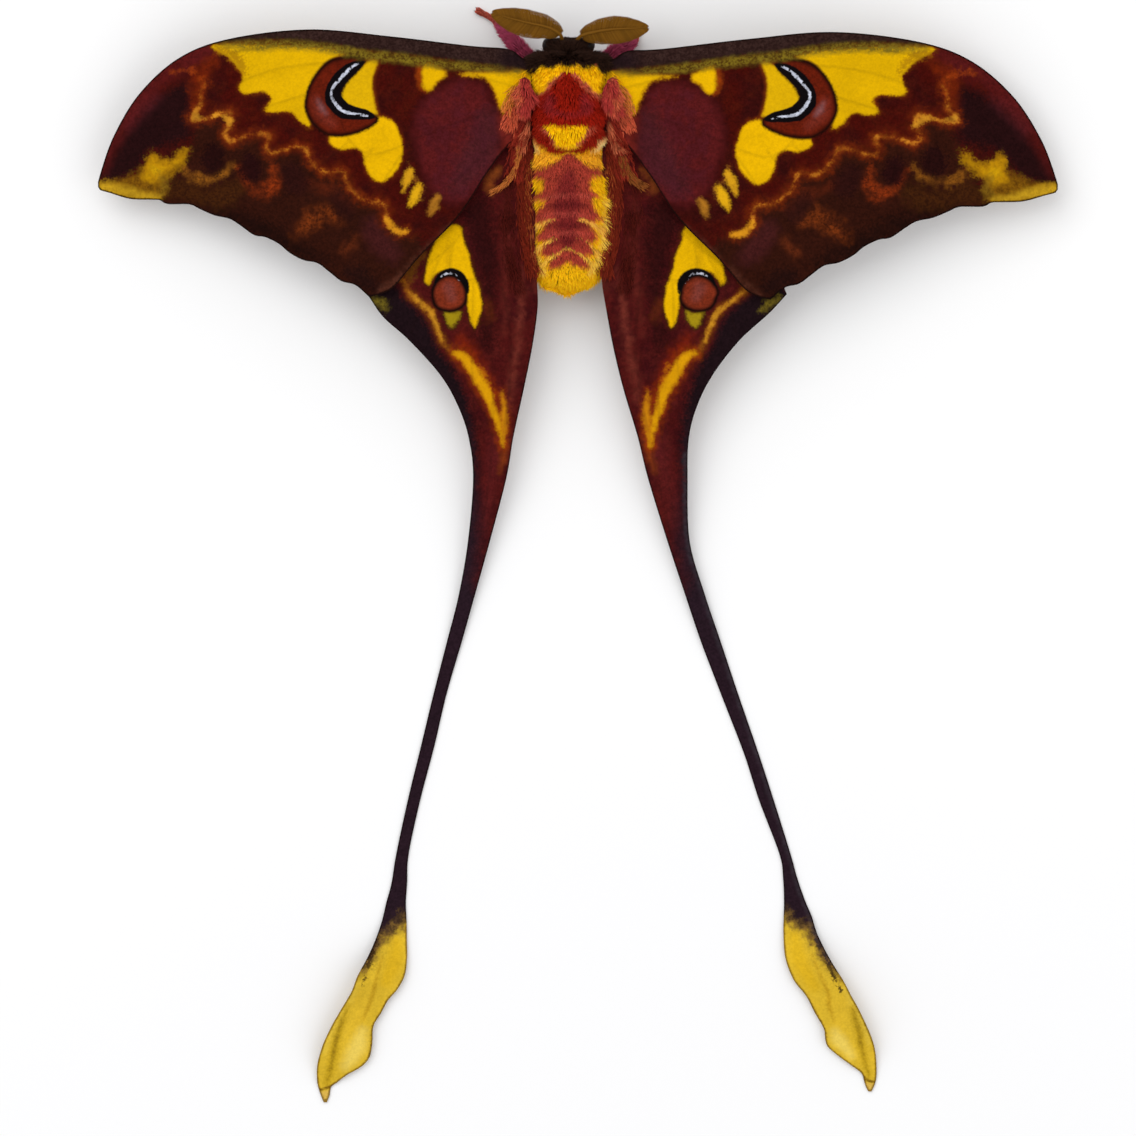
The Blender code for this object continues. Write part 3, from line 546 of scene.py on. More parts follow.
def lay_layers(kit: NodeKit, ground: Value, layers: Sequence[Layer],
               grain: Mapping[str, bpy.types.NodeSocket]) -> Value:
    """Lay colours over a ground, each through the soft mask of its shape.

    Args:
        kit: The material's nodes.
        ground: The colour underneath.
        layers: The colours with their masks' settings.
        grain: The outputs of the scales' grain.

    Returns:
        The finished colour.
    """
    shared = {"Grain": grain["Grain"], "Fleck": grain["Fleck"], "Patch": grain["Blotch"]}
    for layer in layers:
        own = {key: getattr(layer, key.lower()) for key in LAYER_SETTINGS}
        mask = kit.add("ShaderNodeGroup", {"Distance": kit.attribute(layer.shape), **shared, **own},
                       node_tree=soft_edge_group())
        ground = kit.blend(ground, paint(layer.colour), mask.outputs[0])
    return ground


@dataclass(frozen=True)
class Finish:
    """A surface's looks, as one material that is made when it is first asked for."""

    name: str

    def material(self) -> bpy.types.Material:
        """The material of this finish."""
        name = self.name + "_look"
        return bpy.data.materials.get(name) or new_material(name, self.surface)

    def surface(self, kit: NodeKit, place: Value) -> Inputs:
        """The Principled shader's inputs."""
        raise NotImplementedError


@dataclass(frozen=True)
class WingFinish(Finish):
    """Velvety wing scales: a ground colour with the markings laid over it in order."""

    ground: Rgb
    mottle: Rgb
    dust: Rgb
    layers: tuple[Layer, ...]
    grain_size: float = 0.34
    roughness: float = 0.62
    specular: float = 0.015
    relief: float = 0.16
    vein_colour: Rgb = (30, 12, 10)
    under_colour: Rgb = (96, 52, 40)

    def surface(self, kit: NodeKit, place: Value) -> Inputs:
        """The ground and its markings, their flecks fainter where the colour is light."""
        grain = kit.grain(place, self.grain_size)
        fleck, patch = grain["Fleck"], grain["Patch"]
        colour = kit.blend(paint(self.ground), paint(self.mottle), kit.ramp(patch, 0.38, 0.66))
        dust = kit.times(kit.ramp(grain["Blotch"], 0.45, 0.7), 0.3)
        colour = lay_layers(kit, kit.blend(colour, paint(self.dust), dust), self.layers, grain)
        green = kit.add("ShaderNodeSeparateColor", {0: colour}).outputs[1]
        change = kit.times(kit.ramp(fleck, 0.3, 0.7, -0.30, 0.30),
                           kit.ramp(green, 0.02, 0.25, 1.0, 0.3))
        tone = kit.times(kit.maths("ADD", 1.0, change), kit.ramp(patch, 0.3, 0.7, 0.94, 1.05))
        vein = kit.ramp(kit.attribute("vein"), 0.0, 0.4, 0.14, 0.0)
        colour = kit.blend(kit.shade(colour, tone), paint(self.vein_colour), vein)
        under = kit.times(kit.attribute("under"), 0.35)
        return {"Base Color": kit.blend(colour, paint(self.under_colour), under),
                "Roughness": kit.ramp(fleck, 0.3, 0.7, self.roughness - 0.08,
                                      self.roughness + 0.1),
                "Normal": kit.bump(grain["Height"], self.relief, 0.08),
                "Specular IOR Level": self.specular}


FOREWING_SHAPES: dict[str, Shape] = {
    "costal": Shape(((200, 46), (230, 35), (260, 30), (330, 26), (370, 30), (430, 37), (510, 45), (560, 50),
        (560, 78), (535, 74), (515, 69), (495, 67), (465, 64.5), (429, 59), (400, 55.5), (363, 51.5),
        (330, 45.5), (290, 41.5), (257, 41), (225, 43)), rounded=False),
    "olive": Shape(((222, 46), (240, 47.5), (257, 47.5), (290, 46.5), (330, 50.5), (363, 56.5), (400, 60.5),
        (429, 64.5), (465, 69), (495, 71.5), (520, 73)), (2.5, 4.5, 5.5, 5, 5, 5, 5, 5, 4.5, 3.5, 2)),
    "apex_red": Shape(((103, 170), (112, 142), (132, 108), (160, 76), (190, 58), (212, 50)), (2, 6, 9, 12,
        14, 8)),
    "apex_rust": Shape(((216, 60), (206, 70), (198, 80), (196, 94), (196, 112)), (5, 8, 8, 5, 4)),
    "apex_rust_glints": Shape(((172, 74), (186, 71), (198, 75), (204, 84), (203, 96)), (1.0, 2.4, 2.2, 2.6,
        1.4)),
    "apex_dark": Shape(((192, 84), (174, 88), (152, 102), (132, 124), (114, 152), (102, 180), (125, 179),
        (142, 166), (150, 153), (168, 146), (186, 140), (194, 122), (192, 98))),
    "field_end": Shape(((219, 50), (230, 54), (240, 62), (246, 72)), (3, 5, 4, 2)),
    "apex_tint": Shape(((128, 126), (140, 110), (156, 98)), (5, 8, 5)),
    "field": Shape(((212, 47), (225, 56), (231, 60), (241, 71), (244.5, 78), (240, 91), (248, 95),
        (264, 93), (273, 100), (266, 111), (277, 114), (288, 112), (296, 116), (299, 122), (311, 128),
        (309, 118), (306, 108), (308, 98), (313, 84), (322, 69), (333, 60), (345, 57), (330, 52), (313, 50),
        (290, 48), (257, 47), (235, 46))),
    "crescent": Shape(((357, 60), (343, 60.5), (331, 64), (321, 73), (313, 85), (309, 96), (307.5, 108),
        (311, 119), (318, 128), (326, 133.5), (335, 136), (350, 135), (363, 131), (374, 125.5), (377, 120),
        (366, 116), (345, 112), (340, 98), (347, 83), (362, 67))),
    # A painted highlight: a small pale violet glint on the eyespot's dark crescent.
    "violet": Shape(((319, 102), (322, 109), (327, 115)), (0.8, 2.2, 1.0)),
    "bracket": Shape(((367, 63), (355, 63.5), (346, 67), (336, 75.5), (329, 86), (326, 95), (327, 105),
        (333, 113), (341, 119.5), (352, 121), (370, 121), (376, 119.5), (374, 116), (367, 111.8),
        (357, 109.2), (349, 106), (343, 100), (340, 95), (343, 89), (350, 81), (360, 71)), rounded=False),
    "bracket_light": Shape(((360, 65.5), (353, 68.5), (346, 75), (338, 84), (333, 90.5), (332, 97),
        (336, 105), (343, 112.5), (351, 115), (359, 116), (369, 118)), (0.7, 1.3, 1.5, 1.4, 1.3, 1.4, 1.6,
        1.5, 1.3, 1.1, 0.6)),
    "lobe": Shape(((339.5, 95), (347, 84), (358, 73), (368, 64), (378, 63), (374, 76), (373, 91),
        (376, 108), (378, 117), (366, 112), (356, 110), (347, 105))),
    "heart": Shape(((376, 119), (388, 120.5), (396, 126), (401, 138), (403.5, 154), (400, 166), (394, 175),
        (387, 182), (379, 183.5), (371, 177), (366, 166), (363, 153), (355, 149.5), (346, 151), (336, 149),
        (330, 143), (331, 138), (346, 137.5), (360, 133), (373, 126))),
    "spot_first": Shape(((412, 172), (408, 181), (404, 193)), (2.6, 4.2, 1.4)),
    "spot_second": Shape(((420, 186), (415.5, 197), (411, 208)), (2.6, 5.0, 1.8)),
    "spot_flecks": Shape(((410, 166), (414, 178), (422, 188), (420, 200)), (1.0, 1.6, 2.4, 1.0)),
    "spot_third": Shape(((438, 199), (434.5, 207), (431, 215)), (2.4, 4.4, 1.8)),
    "costal_spot": Shape(((425, 67), (436, 69), (446, 74), (446, 79), (438, 84), (433, 91), (427, 93),
        (423, 84))),
    "costal_rust": Shape(((421, 70), (421, 80), (425, 92)), (2.5, 3.5, 2)),
    "oval": Shape(((432, 92), (445, 83), (462, 78.5), (479, 81), (489, 88), (494, 101), (498, 115),
        (502, 130), (502, 148), (496, 173), (480, 196), (452, 208), (430, 192), (416, 160), (412, 130),
        (419, 105))),
    "oval_purple": Shape(((488, 120), (484, 145), (474, 165), (460, 185)), (10, 16, 16, 10)),
    "base": Shape(((460, 76), (480, 74.5), (500, 74), (530, 72), (545, 84), (528, 96), (513, 108),
        (504, 116), (499, 104), (494, 90), (485, 80)), rounded=False),
    "root_black": Shape(((500, 54), (520, 47), (548, 44), (552, 78), (532, 75), (514, 72.5), (500, 71.5))),
    "zigzag": Shape(((206, 84), (201, 96), (201, 106), (192, 119), (204, 120), (217, 116), (229, 114),
        (232, 123), (226.5, 134), (232, 142), (244, 138), (260, 135), (270, 138), (267, 148), (271, 154),
        (284, 151), (297, 148), (306, 149.5), (310, 159), (318, 169), (330, 174), (343, 172.5), (348, 186),
        (355, 194), (366, 202.5), (381, 204), (388, 214), (386, 222), (396, 232), (409, 234)), (0.8, 1.2,
        2.2, 2.8, 1.6, 2.2, 2.8, 2.2, 2.0, 2.4, 1.3, 1.6, 2.0, 1.4, 1.6, 1.1, 1.5, 1.9, 1.2, 1.3, 1.4, 1.8,
        1.3, 1.2, 1.1, 1.8, 2.0, 1.8, 2.4, 0.8)),
    "zigzag_nodes": Shape(((195, 117), (204, 119)), (3.2, 1.2)),
    "zigzag_nodes_mid": Shape(((214, 117), (224, 117), (231, 123)), (1.2, 2.2, 3.0)),
    "zigzag_nodes_far": Shape(((388, 222), (397, 232), (408, 233)), (2.4, 3.0, 1.6)),
    "outer": Shape(((201, 106), (192, 119), (204, 120), (229, 116), (227, 134), (232, 142), (260, 136),
        (267, 150), (297, 149), (310, 160), (330, 174), (345, 175), (356, 194), (381, 204), (388, 220),
        (409, 234), (425, 250), (400, 290), (370, 305), (300, 268), (230, 225), (160, 204), (185, 160))),
    "tip": Shape(((92, 183), (104, 182), (116, 181), (130, 176), (140, 170), (147, 163), (150, 152),
        (158, 156), (166, 161), (178, 155), (190, 150), (184, 163), (175, 172), (168, 178), (168, 187),
        (163, 197), (146, 202), (110, 200), (94, 194))),
    "tip_band": Shape(((94, 184), (104, 188), (118, 190.5), (132, 193.5), (146, 197), (158, 198)), (2.0,
        3.8, 3.6, 2.8, 2.0, 1.2)),
    "tip_star": Shape(((143, 178), (146, 169), (149, 158), (153, 154), (158, 159), (165, 163), (176, 158),
        (187, 151), (182, 163), (173, 171), (165, 176), (160, 183), (150, 182))),
    "tip_olive": Shape(((160, 176), (165, 184), (162, 193)), (3, 4, 3)),
    "olive_band": Shape(((162, 192), (172, 182), (186, 178), (202, 186), (222, 186), (238, 180), (246, 190),
        (238, 204), (226, 210), (204, 206), (184, 202), (166, 201))),
    "rust_loop": Shape(((178, 160), (186, 172), (198, 180), (212, 180), (226, 174), (234, 164)), (2, 3.5, 5,
        3.5, 4, 2)),
    "rust_mid": Shape(((240, 168), (252, 188), (266, 192), (276, 182), (274, 168)), (3, 4, 8, 6, 3)),
    "rust_far": Shape(((298, 236), (312, 222), (326, 214), (340, 222)), (5, 10, 8, 4)),
    "rust_last": Shape(((346, 252), (356, 240)), (5, 4)),
    "rust_under": Shape(((306, 182), (322, 188), (340, 196), (352, 208)), (3, 5, 5, 3)),
    "dark_spot": Shape(((214, 156), (214, 163)), (11, 11)),
    "dark_spot_second": Shape(((251, 166), (252, 173)), (10, 11)),
    "dark_spot_third": Shape(((292, 174), (298, 184)), (11, 12)),
    "dark_spot_fourth": Shape(((340, 200), (346, 212)), (9, 10)),
    "plum": Shape(((372, 228), (382, 244), (394, 256)), (9, 12, 8)),
    "outer_dark": Shape(((196, 204), (225, 213), (250, 225), (275, 237), (300, 250), (325, 262)), (3, 7, 10,
        10, 8, 4)),
    "outer_dark_second": Shape(((350, 274), (362, 280), (373, 288)), (6, 9, 6)),
    "crescent_glow": Shape(((317, 101), (322, 114), (333, 125)), (4, 6.5, 4)),
    "hind_glow": Shape(((380, 293), (396, 282), (413, 268), (432, 246), (452, 226)), (1.5, 4.0, 4.6, 3.6,
        1.6)),
    "root_fur": Shape(((500, 118), (512, 110), (530, 95), (545, 120), (530, 205), (508, 200), (500, 170),
        (503, 146))),
}

YELLOW = (226, 174, 3)

FOREWING_LAYERS = (
    Layer("outer", (46, 17, 9), 1.1, 1.0),
    Layer("outer_dark", (27, 10, 7), 1.3, 0.9, strength=0.9, blotch=0.25),
    Layer("outer_dark_second", (30, 12, 10), 1.2, 0.8, strength=0.8),
    Layer("olive_band", (60, 30, 8), 0.9, 1.2, speckle=0.5, strength=0.8),
    Layer("rust_under", (96, 34, 14), 0.9, 0.9, strength=0.6, blotch=0.4),
    Layer("rust_far", (108, 46, 14), 1.1, 1.0, speckle=0.5, blotch=0.7),
    Layer("rust_last", (84, 34, 14), 0.9, 0.8, speckle=0.4),
    Layer("plum", (64, 24, 24), 1.2, 0.8, strength=0.8),
    Layer("rust_mid", (124, 44, 12), 0.8, 0.9, speckle=0.4, blotch=0.6),
    Layer("rust_loop", (134, 80, 20), 0.6, 0.8, speckle=0.45, blotch=0.6, strength=0.9),
    Layer("dark_spot", (32, 9, 9), 0.7, 0.8, strength=0.9),
    Layer("dark_spot_second", (34, 9, 10), 0.7, 0.8, strength=0.9),
    Layer("dark_spot_third", (40, 13, 11), 0.9, 0.8, strength=0.85),
    Layer("dark_spot_fourth", (42, 15, 12), 0.9, 0.8, strength=0.75),
    Layer("apex_dark", (34, 11, 12), 1.3, 0.8),
    Layer("apex_tint", (84, 30, 36), 1.3, 0.6, strength=0.5, blotch=0.4),
    Layer("apex_red", (84, 22, 22), 1.4, 0.8, strength=0.85, blotch=0.3),
    Layer("apex_rust", (108, 32, 6), 0.9, 1.0, strength=0.8, blotch=0.4),
    Layer("apex_rust_glints", (150, 58, 12), 0.5, 0.9, strength=0.7, speckle=0.4),
    Layer("zigzag", (112, 38, 8), 0.9, 0.9, 0.6, strength=0.8, blotch=0.35),
    Layer("zigzag", (156, 78, 18), 0.42, 0.5, -0.02, speckle=0.35, blotch=0.45),
    Layer("zigzag", (204, 132, 36), 0.3, 0.45, -0.2, speckle=0.3, blotch=0.85),
    Layer("zigzag_nodes", (184, 132, 34), 0.5, 0.6, strength=0.65, speckle=0.3),
    Layer("zigzag_nodes_mid", (212, 146, 36), 0.4, 0.5, strength=0.8, speckle=0.2),
    Layer("zigzag_nodes_far", (218, 148, 26), 0.45, 0.4, strength=0.8),
    Layer("tip", (122, 82, 10), 0.7, 0.8, 0.1, speckle=0.3, strength=0.9),
    Layer("tip_star", (176, 126, 8), 0.7, 0.8, 0.1, speckle=0.3),
    Layer("tip_star", (204, 158, 10), 0.6, 0.9, -0.9, speckle=0.3, strength=0.6),
    Layer("tip_band", (188, 146, 28), 0.7, 0.5, 0.3, speckle=0.25),
    Layer("tip_olive", (112, 88, 24), 0.7, 0.8, speckle=0.5, strength=0.6),
    Layer("oval", (46, 8, 9), 0.9, 0.4, 0.1),
    Layer("oval", (84, 22, 22), 1.1, 0.6, -0.5),
    Layer("oval_purple", (70, 28, 32), 1.6, 0.8, strength=0.75),
    Layer("oval", (62, 20, 30), 0.7, 0.8, -0.9, speckle=0.5, strength=0.5, blotch=0.85),
    Layer("root_fur", (108, 32, 26), 1.0, 0.5),
    Layer("field", (112, 48, 4), 0.5, 0.5, 0.3),
    Layer("heart", (104, 38, 4), 0.5, 0.4, 0.28),
    Layer("costal_rust", (146, 58, 8), 0.5, 0.4, 0.1, strength=0.85),
    Layer("costal_spot", (120, 50, 6), 0.5, 0.4, 0.2),
    Layer("base", (140, 70, 8), 0.5, 0.4, 0.2),
    Layer("field", (214, 166, 3), 0.3, 0.25),
    Layer("field_end", (140, 92, 10), 0.6, 0.9, strength=0.75, speckle=0.3),
    Layer("heart", YELLOW, 0.3, 0.2),
    Layer("costal_spot", YELLOW, 0.45, 0.25),
    Layer("base", YELLOW, 0.4, 0.3),
    Layer("spot_flecks", (140, 84, 24), 0.5, 0.7, strength=0.65),
    Layer("spot_first", (206, 150, 24), 0.45, 0.4),
    Layer("spot_second", (214, 160, 18), 0.4, 0.35),
    Layer("spot_third", (166, 108, 30), 0.5, 0.4),
    Layer("lobe", (116, 50, 6), 0.5, 0.15, 0.3),
    Layer("lobe", (212, 166, 6), 0.3, 0.15),
    Layer("crescent", (30, 8, 5), 0.3, 0.14, 0.38),
    Layer("crescent", (94, 25, 9), 0.4, 0.10, -0.22),
    Layer("crescent_glow", (114, 42, 30), 0.9, 0.15, strength=0.8),
    # Painted highlight: a pale violet glint on the crescent.
    Layer("violet", (140, 112, 118), 0.6, 0.2, strength=0.36),
    Layer("bracket", (12, 8, 11), 0.12, 0.05, 0.08),
    Layer("bracket_light", (206, 210, 226), 0.08, 0.14, speckle=0.35),
    Layer("costal", (42, 24, 21), 0.3, 0.25),
    Layer("costal", (64, 46, 42), 0.4, 0.5, -0.3, speckle=0.95, strength=0.4, blotch=0.5),
    Layer("olive", (112, 94, 24), 0.55, 0.4, speckle=0.6),
    Layer("root_black", (30, 17, 20), 2.0, 0.3, -0.4),
    Layer("hind_glow", (98, 54, 40), 0.7, 0.6, strength=0.5, blotch=0.5, speckle=0.3),
    Layer("margin", (20, 8, 6), 0.12, 0.08, 0.22, strength=0.9),
)
FOREWING_FINISH = WingFinish("forewing_scales", (65, 11, 6), (50, 10, 8), (80, 24, 9), FOREWING_LAYERS)

HINDWING_SHAPES: dict[str, Shape] = {
    "patch": Shape(((438, 238), (443, 229), (456, 226), (462, 231), (464, 243), (469.5, 256), (472, 271),
        (477.5, 284), (481, 297), (481.5, 309), (478.5, 320), (475, 328), (471, 322), (468.5, 311),
        (467.5, 298), (463.4, 286.5), (456.5, 272.7), (446, 271), (436, 274.5), (429, 286.5), (425.5, 283),
        (427, 269), (431, 253))),
    "hook_glow": Shape(((498, 171), (489, 181), (491, 191)), (3, 5, 4)),
    "patch_shade": Shape(((449, 238), (447, 252), (449, 268)), (1.5, 2.5, 3)),
    "eye": Shape(((450, 277.5), (458, 280), (464, 288), (465.5, 297), (462, 306), (450, 310.5), (438, 307),
        (434, 297), (435, 288), (441, 280.5))),
    "eye_middle": Shape(((449, 288), (452, 298)), (5, 4)),
    "eye_top": Shape(((435, 288), (438, 280), (444, 274.5), (451, 272.5), (459, 275.5), (465, 283),
        (468, 293)), (1.2, 2.4, 3.2, 3.6, 4.0, 3.8, 1.6)),
    "eye_light": Shape(((441, 277.5), (446, 274.5), (452, 274), (457, 277), (461, 284)), (0.5, 1.0, 1.0,
        0.8, 0.5)),
    "green_spot": Shape(((444.5, 312), (452, 314), (461, 312), (458, 321), (452, 328), (446, 321))),
    "thin_line": Shape(((404, 282), (411, 295), (420, 303), (429, 311), (435, 322), (441, 338), (448, 349),
        (455, 356)), (1.8, 2.6, 1.8, 3.0, 2.0, 1.8, 1.8, 2.2)),
    "thin_line_light": Shape(((410, 293), (422, 305), (431, 313), (437, 326), (443, 342)), (0.4, 1.4, 2.0,
        1.6, 0.8)),
    "patch_glow": Shape(((408, 284), (410, 274), (417, 262), (426, 254)), (2, 3.4, 3, 1.5)),
    "streak": Shape(((454, 353), (463, 357), (471, 367), (479, 380), (487, 393), (492, 407), (497, 420),
        (501, 434), (503, 446)), (1.6, 3.8, 4.7, 4.8, 4.4, 3.4, 2.8, 2.4, 0.6)),
    "streak_second": Shape(((502, 392), (504, 406), (504, 422), (503, 444)), (0.6, 2.2, 3.0, 0.8)),
    "streak_branch": Shape(((480, 366), (484, 376), (490, 390)), (0.8, 1.8, 1.0)),
    "outer_band": Shape(((360, 292), (395, 286), (404, 298), (418, 310), (429, 326), (438, 347), (452, 366),
        (464, 390), (472, 420), (476, 450), (477, 480), (470, 530), (455, 600), (430, 700), (380, 700),
        (440, 540), (455, 440), (430, 380), (385, 330))),
    "olive_flecks": Shape(((373, 301), (380, 303), (388, 309)), (3, 5, 2)),
    "inner_dark": Shape(((466, 205), (486, 200), (494, 225), (497, 262), (497, 300), (492, 345), (482, 350),
        (478, 335), (484, 300), (476, 262), (468, 232))),
    "pale_streak": Shape(((505, 205), (507, 260), (506, 300), (504, 335)), (2, 3.5, 3.5, 1)),
    "pale_streak_second": Shape(((522, 270), (520, 320), (514, 370), (508, 410)), (2, 3, 3, 2)),
    "rust_spot": Shape(((487, 305), (490, 318)), (5, 4)),
    "rust_glow": Shape(((460, 338), (470, 350), (480, 366), (490, 384), (498, 404)), (3, 4.5, 4.5, 4, 2)),
    "tail_dark": Shape(((440, 420), (466, 440), (473, 480), (478, 510), (480, 540), (478, 565), (480, 590),
        (520, 612), (640, 700), (560, 1000), (250, 1000), (180, 700), (300, 500))),
    "tail_red": Shape(((498, 440), (492, 470), (488, 500), (484, 530)), (7, 6, 4, 1)),
    "tail_glow": Shape(((507, 440), (504, 456), (500, 472)), (2.6, 2.2, 1)),
    "hair_glow": Shape(((537, 290), (535, 262), (530, 230), (526, 190), (522, 160)), (3, 4, 5, 6, 7)),
    "blade": Shape(((416, 922), (404, 929), (395, 935), (387, 941), (380, 950), (374, 960), (367, 969),
        (359, 974), (352, 974), (330, 1005), (300, 1050), (300, 1112), (340, 1115), (390, 1065),
        (425, 990))),
    "blade_streak": Shape(((374, 944), (370, 958), (366, 971), (361, 986)), (3.4, 2.0, 1.2, 0.5)),
    # Painted shade along the crease of a fold in the blade; the same line raises that fold in the tail's
    # surface.
    "blade_fold": Shape(((382, 958), (376, 980), (371, 1000), (362, 1022)), (0.6, 1.5, 1.7, 0.8)),
    # Painted shade down the valley between the blade's folds.
    "blade_valley": Shape(((348, 1006), (339, 1030), (334, 1050), (330, 1070), (326, 1086)), (1.0, 2.6, 3.2,
        2.6, 1.4)),
    # Painted highlight along the lit ridge of the blade's lower part; the same line raises that ridge in
    # the tail's surface.
    "blade_light": Shape(((362, 1032), (356, 1050), (345, 1068)), (4, 8, 4)),
    # Painted highlight on the ridge left of the valley; the same line raises that ridge in the tail's
    # surface.
    "blade_left": Shape(((356, 985), (346, 1005), (334, 1028), (324, 1052)), (3, 4, 4, 3)),
    # A richer orange on the blade's upper right, painted as the brighter-lit part of the blade.
    "blade_rich": Shape(((396, 944), (394, 962), (386, 982)), (5, 8, 6)),
    "blade_tip": Shape(((312, 1093), (322, 1091), (334, 1087)), (1.5, 1.5, 1.5)),
    "blade_end": Shape(((310, 1096), (336, 1090), (336, 1116), (310, 1116)), rounded=False),
    "blade_dark_edge": Shape(((390, 999), (381, 1015), (374, 1031), (372, 1048), (369, 1060)), (0.8, 1.8,
        2.0, 1.8, 0.6)),
}

HINDWING_LAYERS = (
    Layer("inner_dark", (40, 10, 10), 1.5, 0.8, strength=0.85),
    Layer("pale_streak", (98, 36, 28), 0.9, 0.8, strength=0.6, blotch=0.5),
    Layer("hook_glow", (140, 70, 26), 0.7, 0.6, strength=0.8, blotch=0.3),
    Layer("pale_streak_second", (112, 46, 36), 0.9, 0.8, strength=0.8, blotch=0.4),
    Layer("rust_spot", (108, 44, 16), 0.9, 0.8, strength=0.5),
    Layer("outer_band", (27, 14, 18), 1.0, 0.6),
    Layer("tail_red", (90, 27, 27), 1.6, 0.4, strength=0.8),
    Layer("tail_glow", (138, 60, 18), 0.8, 0.4, strength=0.7),
    Layer("tail_dark", (37, 23, 31), 2.2, 0.4),
    Layer("hair_glow", (104, 42, 32), 0.9, 0.5, strength=0.5),
    Layer("olive_flecks", (112, 96, 28), 0.7, 0.9, speckle=0.5),
    Layer("rust_glow", (126, 34, 8), 1.2, 0.8, strength=0.7),
    Layer("patch_glow", (122, 74, 16), 0.8, 0.8, strength=0.7),
    Layer("thin_line", (106, 48, 10), 0.6, 0.6, 0.35, strength=0.85),
    Layer("thin_line", (160, 98, 22), 0.45, 0.35, 0.0, strength=0.7, speckle=0.3),
    Layer("thin_line_light", (206, 144, 34), 0.4, 0.35, strength=0.85, speckle=0.2),
    Layer("streak", (130, 46, 8), 0.8, 0.6, 0.6, strength=0.9),
    Layer("streak_second", (130, 46, 8), 0.8, 0.6, 0.35, strength=0.9),
    Layer("streak_branch", (176, 100, 10), 0.5, 0.6, 0.1, strength=0.8),
    Layer("streak", (210, 148, 8), 0.45, 0.3),
    Layer("streak_second", (200, 130, 14), 0.5, 0.3),
    Layer("patch", (70, 32, 4), 0.5, 0.3, 0.28),
    Layer("patch", YELLOW, 0.3, 0.2),
    Layer("patch_shade", (200, 152, 6), 0.5, 0.2, strength=0.5),
    Layer("green_spot", (64, 38, 8), 0.5, 0.4, 0.3),
    Layer("green_spot", (156, 132, 18), 0.4, 0.4),
    Layer("eye", (24, 8, 6), 0.25, 0.08, 0.42),
    Layer("eye_top", (11, 8, 9), 0.16, 0.06, 0.02),
    Layer("eye", (116, 42, 22), 0.35, 0.08, -0.14),
    Layer("eye_middle", (124, 60, 52), 0.8, 0.1, strength=0.8),
    Layer("eye_top", (11, 8, 9), 0.16, 0.05, -0.24),
    Layer("eye_light", (196, 198, 212), 0.08, 0.10, speckle=0.3),
    Layer("blade", (122, 92, 40), 1.0, 1.3, 1.5, speckle=0.7),
    Layer("blade", (214, 176, 46), 0.8, 1.0, -0.1, speckle=0.25),
    Layer("blade", (214, 176, 46), 0.8, 0.3, -1.0),
    # Painted light: the blade's upper right, richer orange and brighter-lit.
    Layer("blade_rich", (216, 172, 26), 0.9, 0.2, strength=0.7),
    # Painted highlight on the blade's left ridge.
    Layer("blade_left", (222, 190, 70), 0.8, 0.2, strength=0.5),
    # Painted highlight on the blade's raised ridge.
    Layer("blade_light", (232, 204, 96), 0.9, 0.2, strength=0.75),
    # Painted shade in the crease of the blade's fold.
    Layer("blade_fold", (170, 126, 16), 0.4, 0.15, strength=0.7),
    # Painted shade in the blade's valley, darker in its middle.
    Layer("blade_valley", (178, 142, 16), 0.6, 0.2, 0.2, strength=0.7),
    Layer("blade_valley", (134, 104, 20), 0.4, 0.2, -0.25, strength=0.75),
    Layer("blade_streak", (46, 26, 18), 0.25, 0.7, speckle=0.25),
    Layer("blade_end", (216, 176, 84), 0.3, 0.1, strength=0.8),
    Layer("blade_dark_edge", (92, 62, 18), 0.4, 0.2, strength=0.8),
    Layer("blade_tip", (110, 76, 12), 0.14, 0.05, strength=0.85),
    Layer("blade_rim", (104, 74, 18), 0.16, 0.08, 0.05, strength=0.8),
    Layer("outer_strip", (58, 52, 58), 0.3, 0.3, strength=0.5, blotch=0.4),
    Layer("margin", (20, 9, 9), 0.12, 0.08, 0.18, strength=0.85),
)
HINDWING_FINISH = WingFinish("hindwing_scales", (72, 17, 16), (56, 12, 14), (92, 30, 24), HINDWING_LAYERS)


# Wings

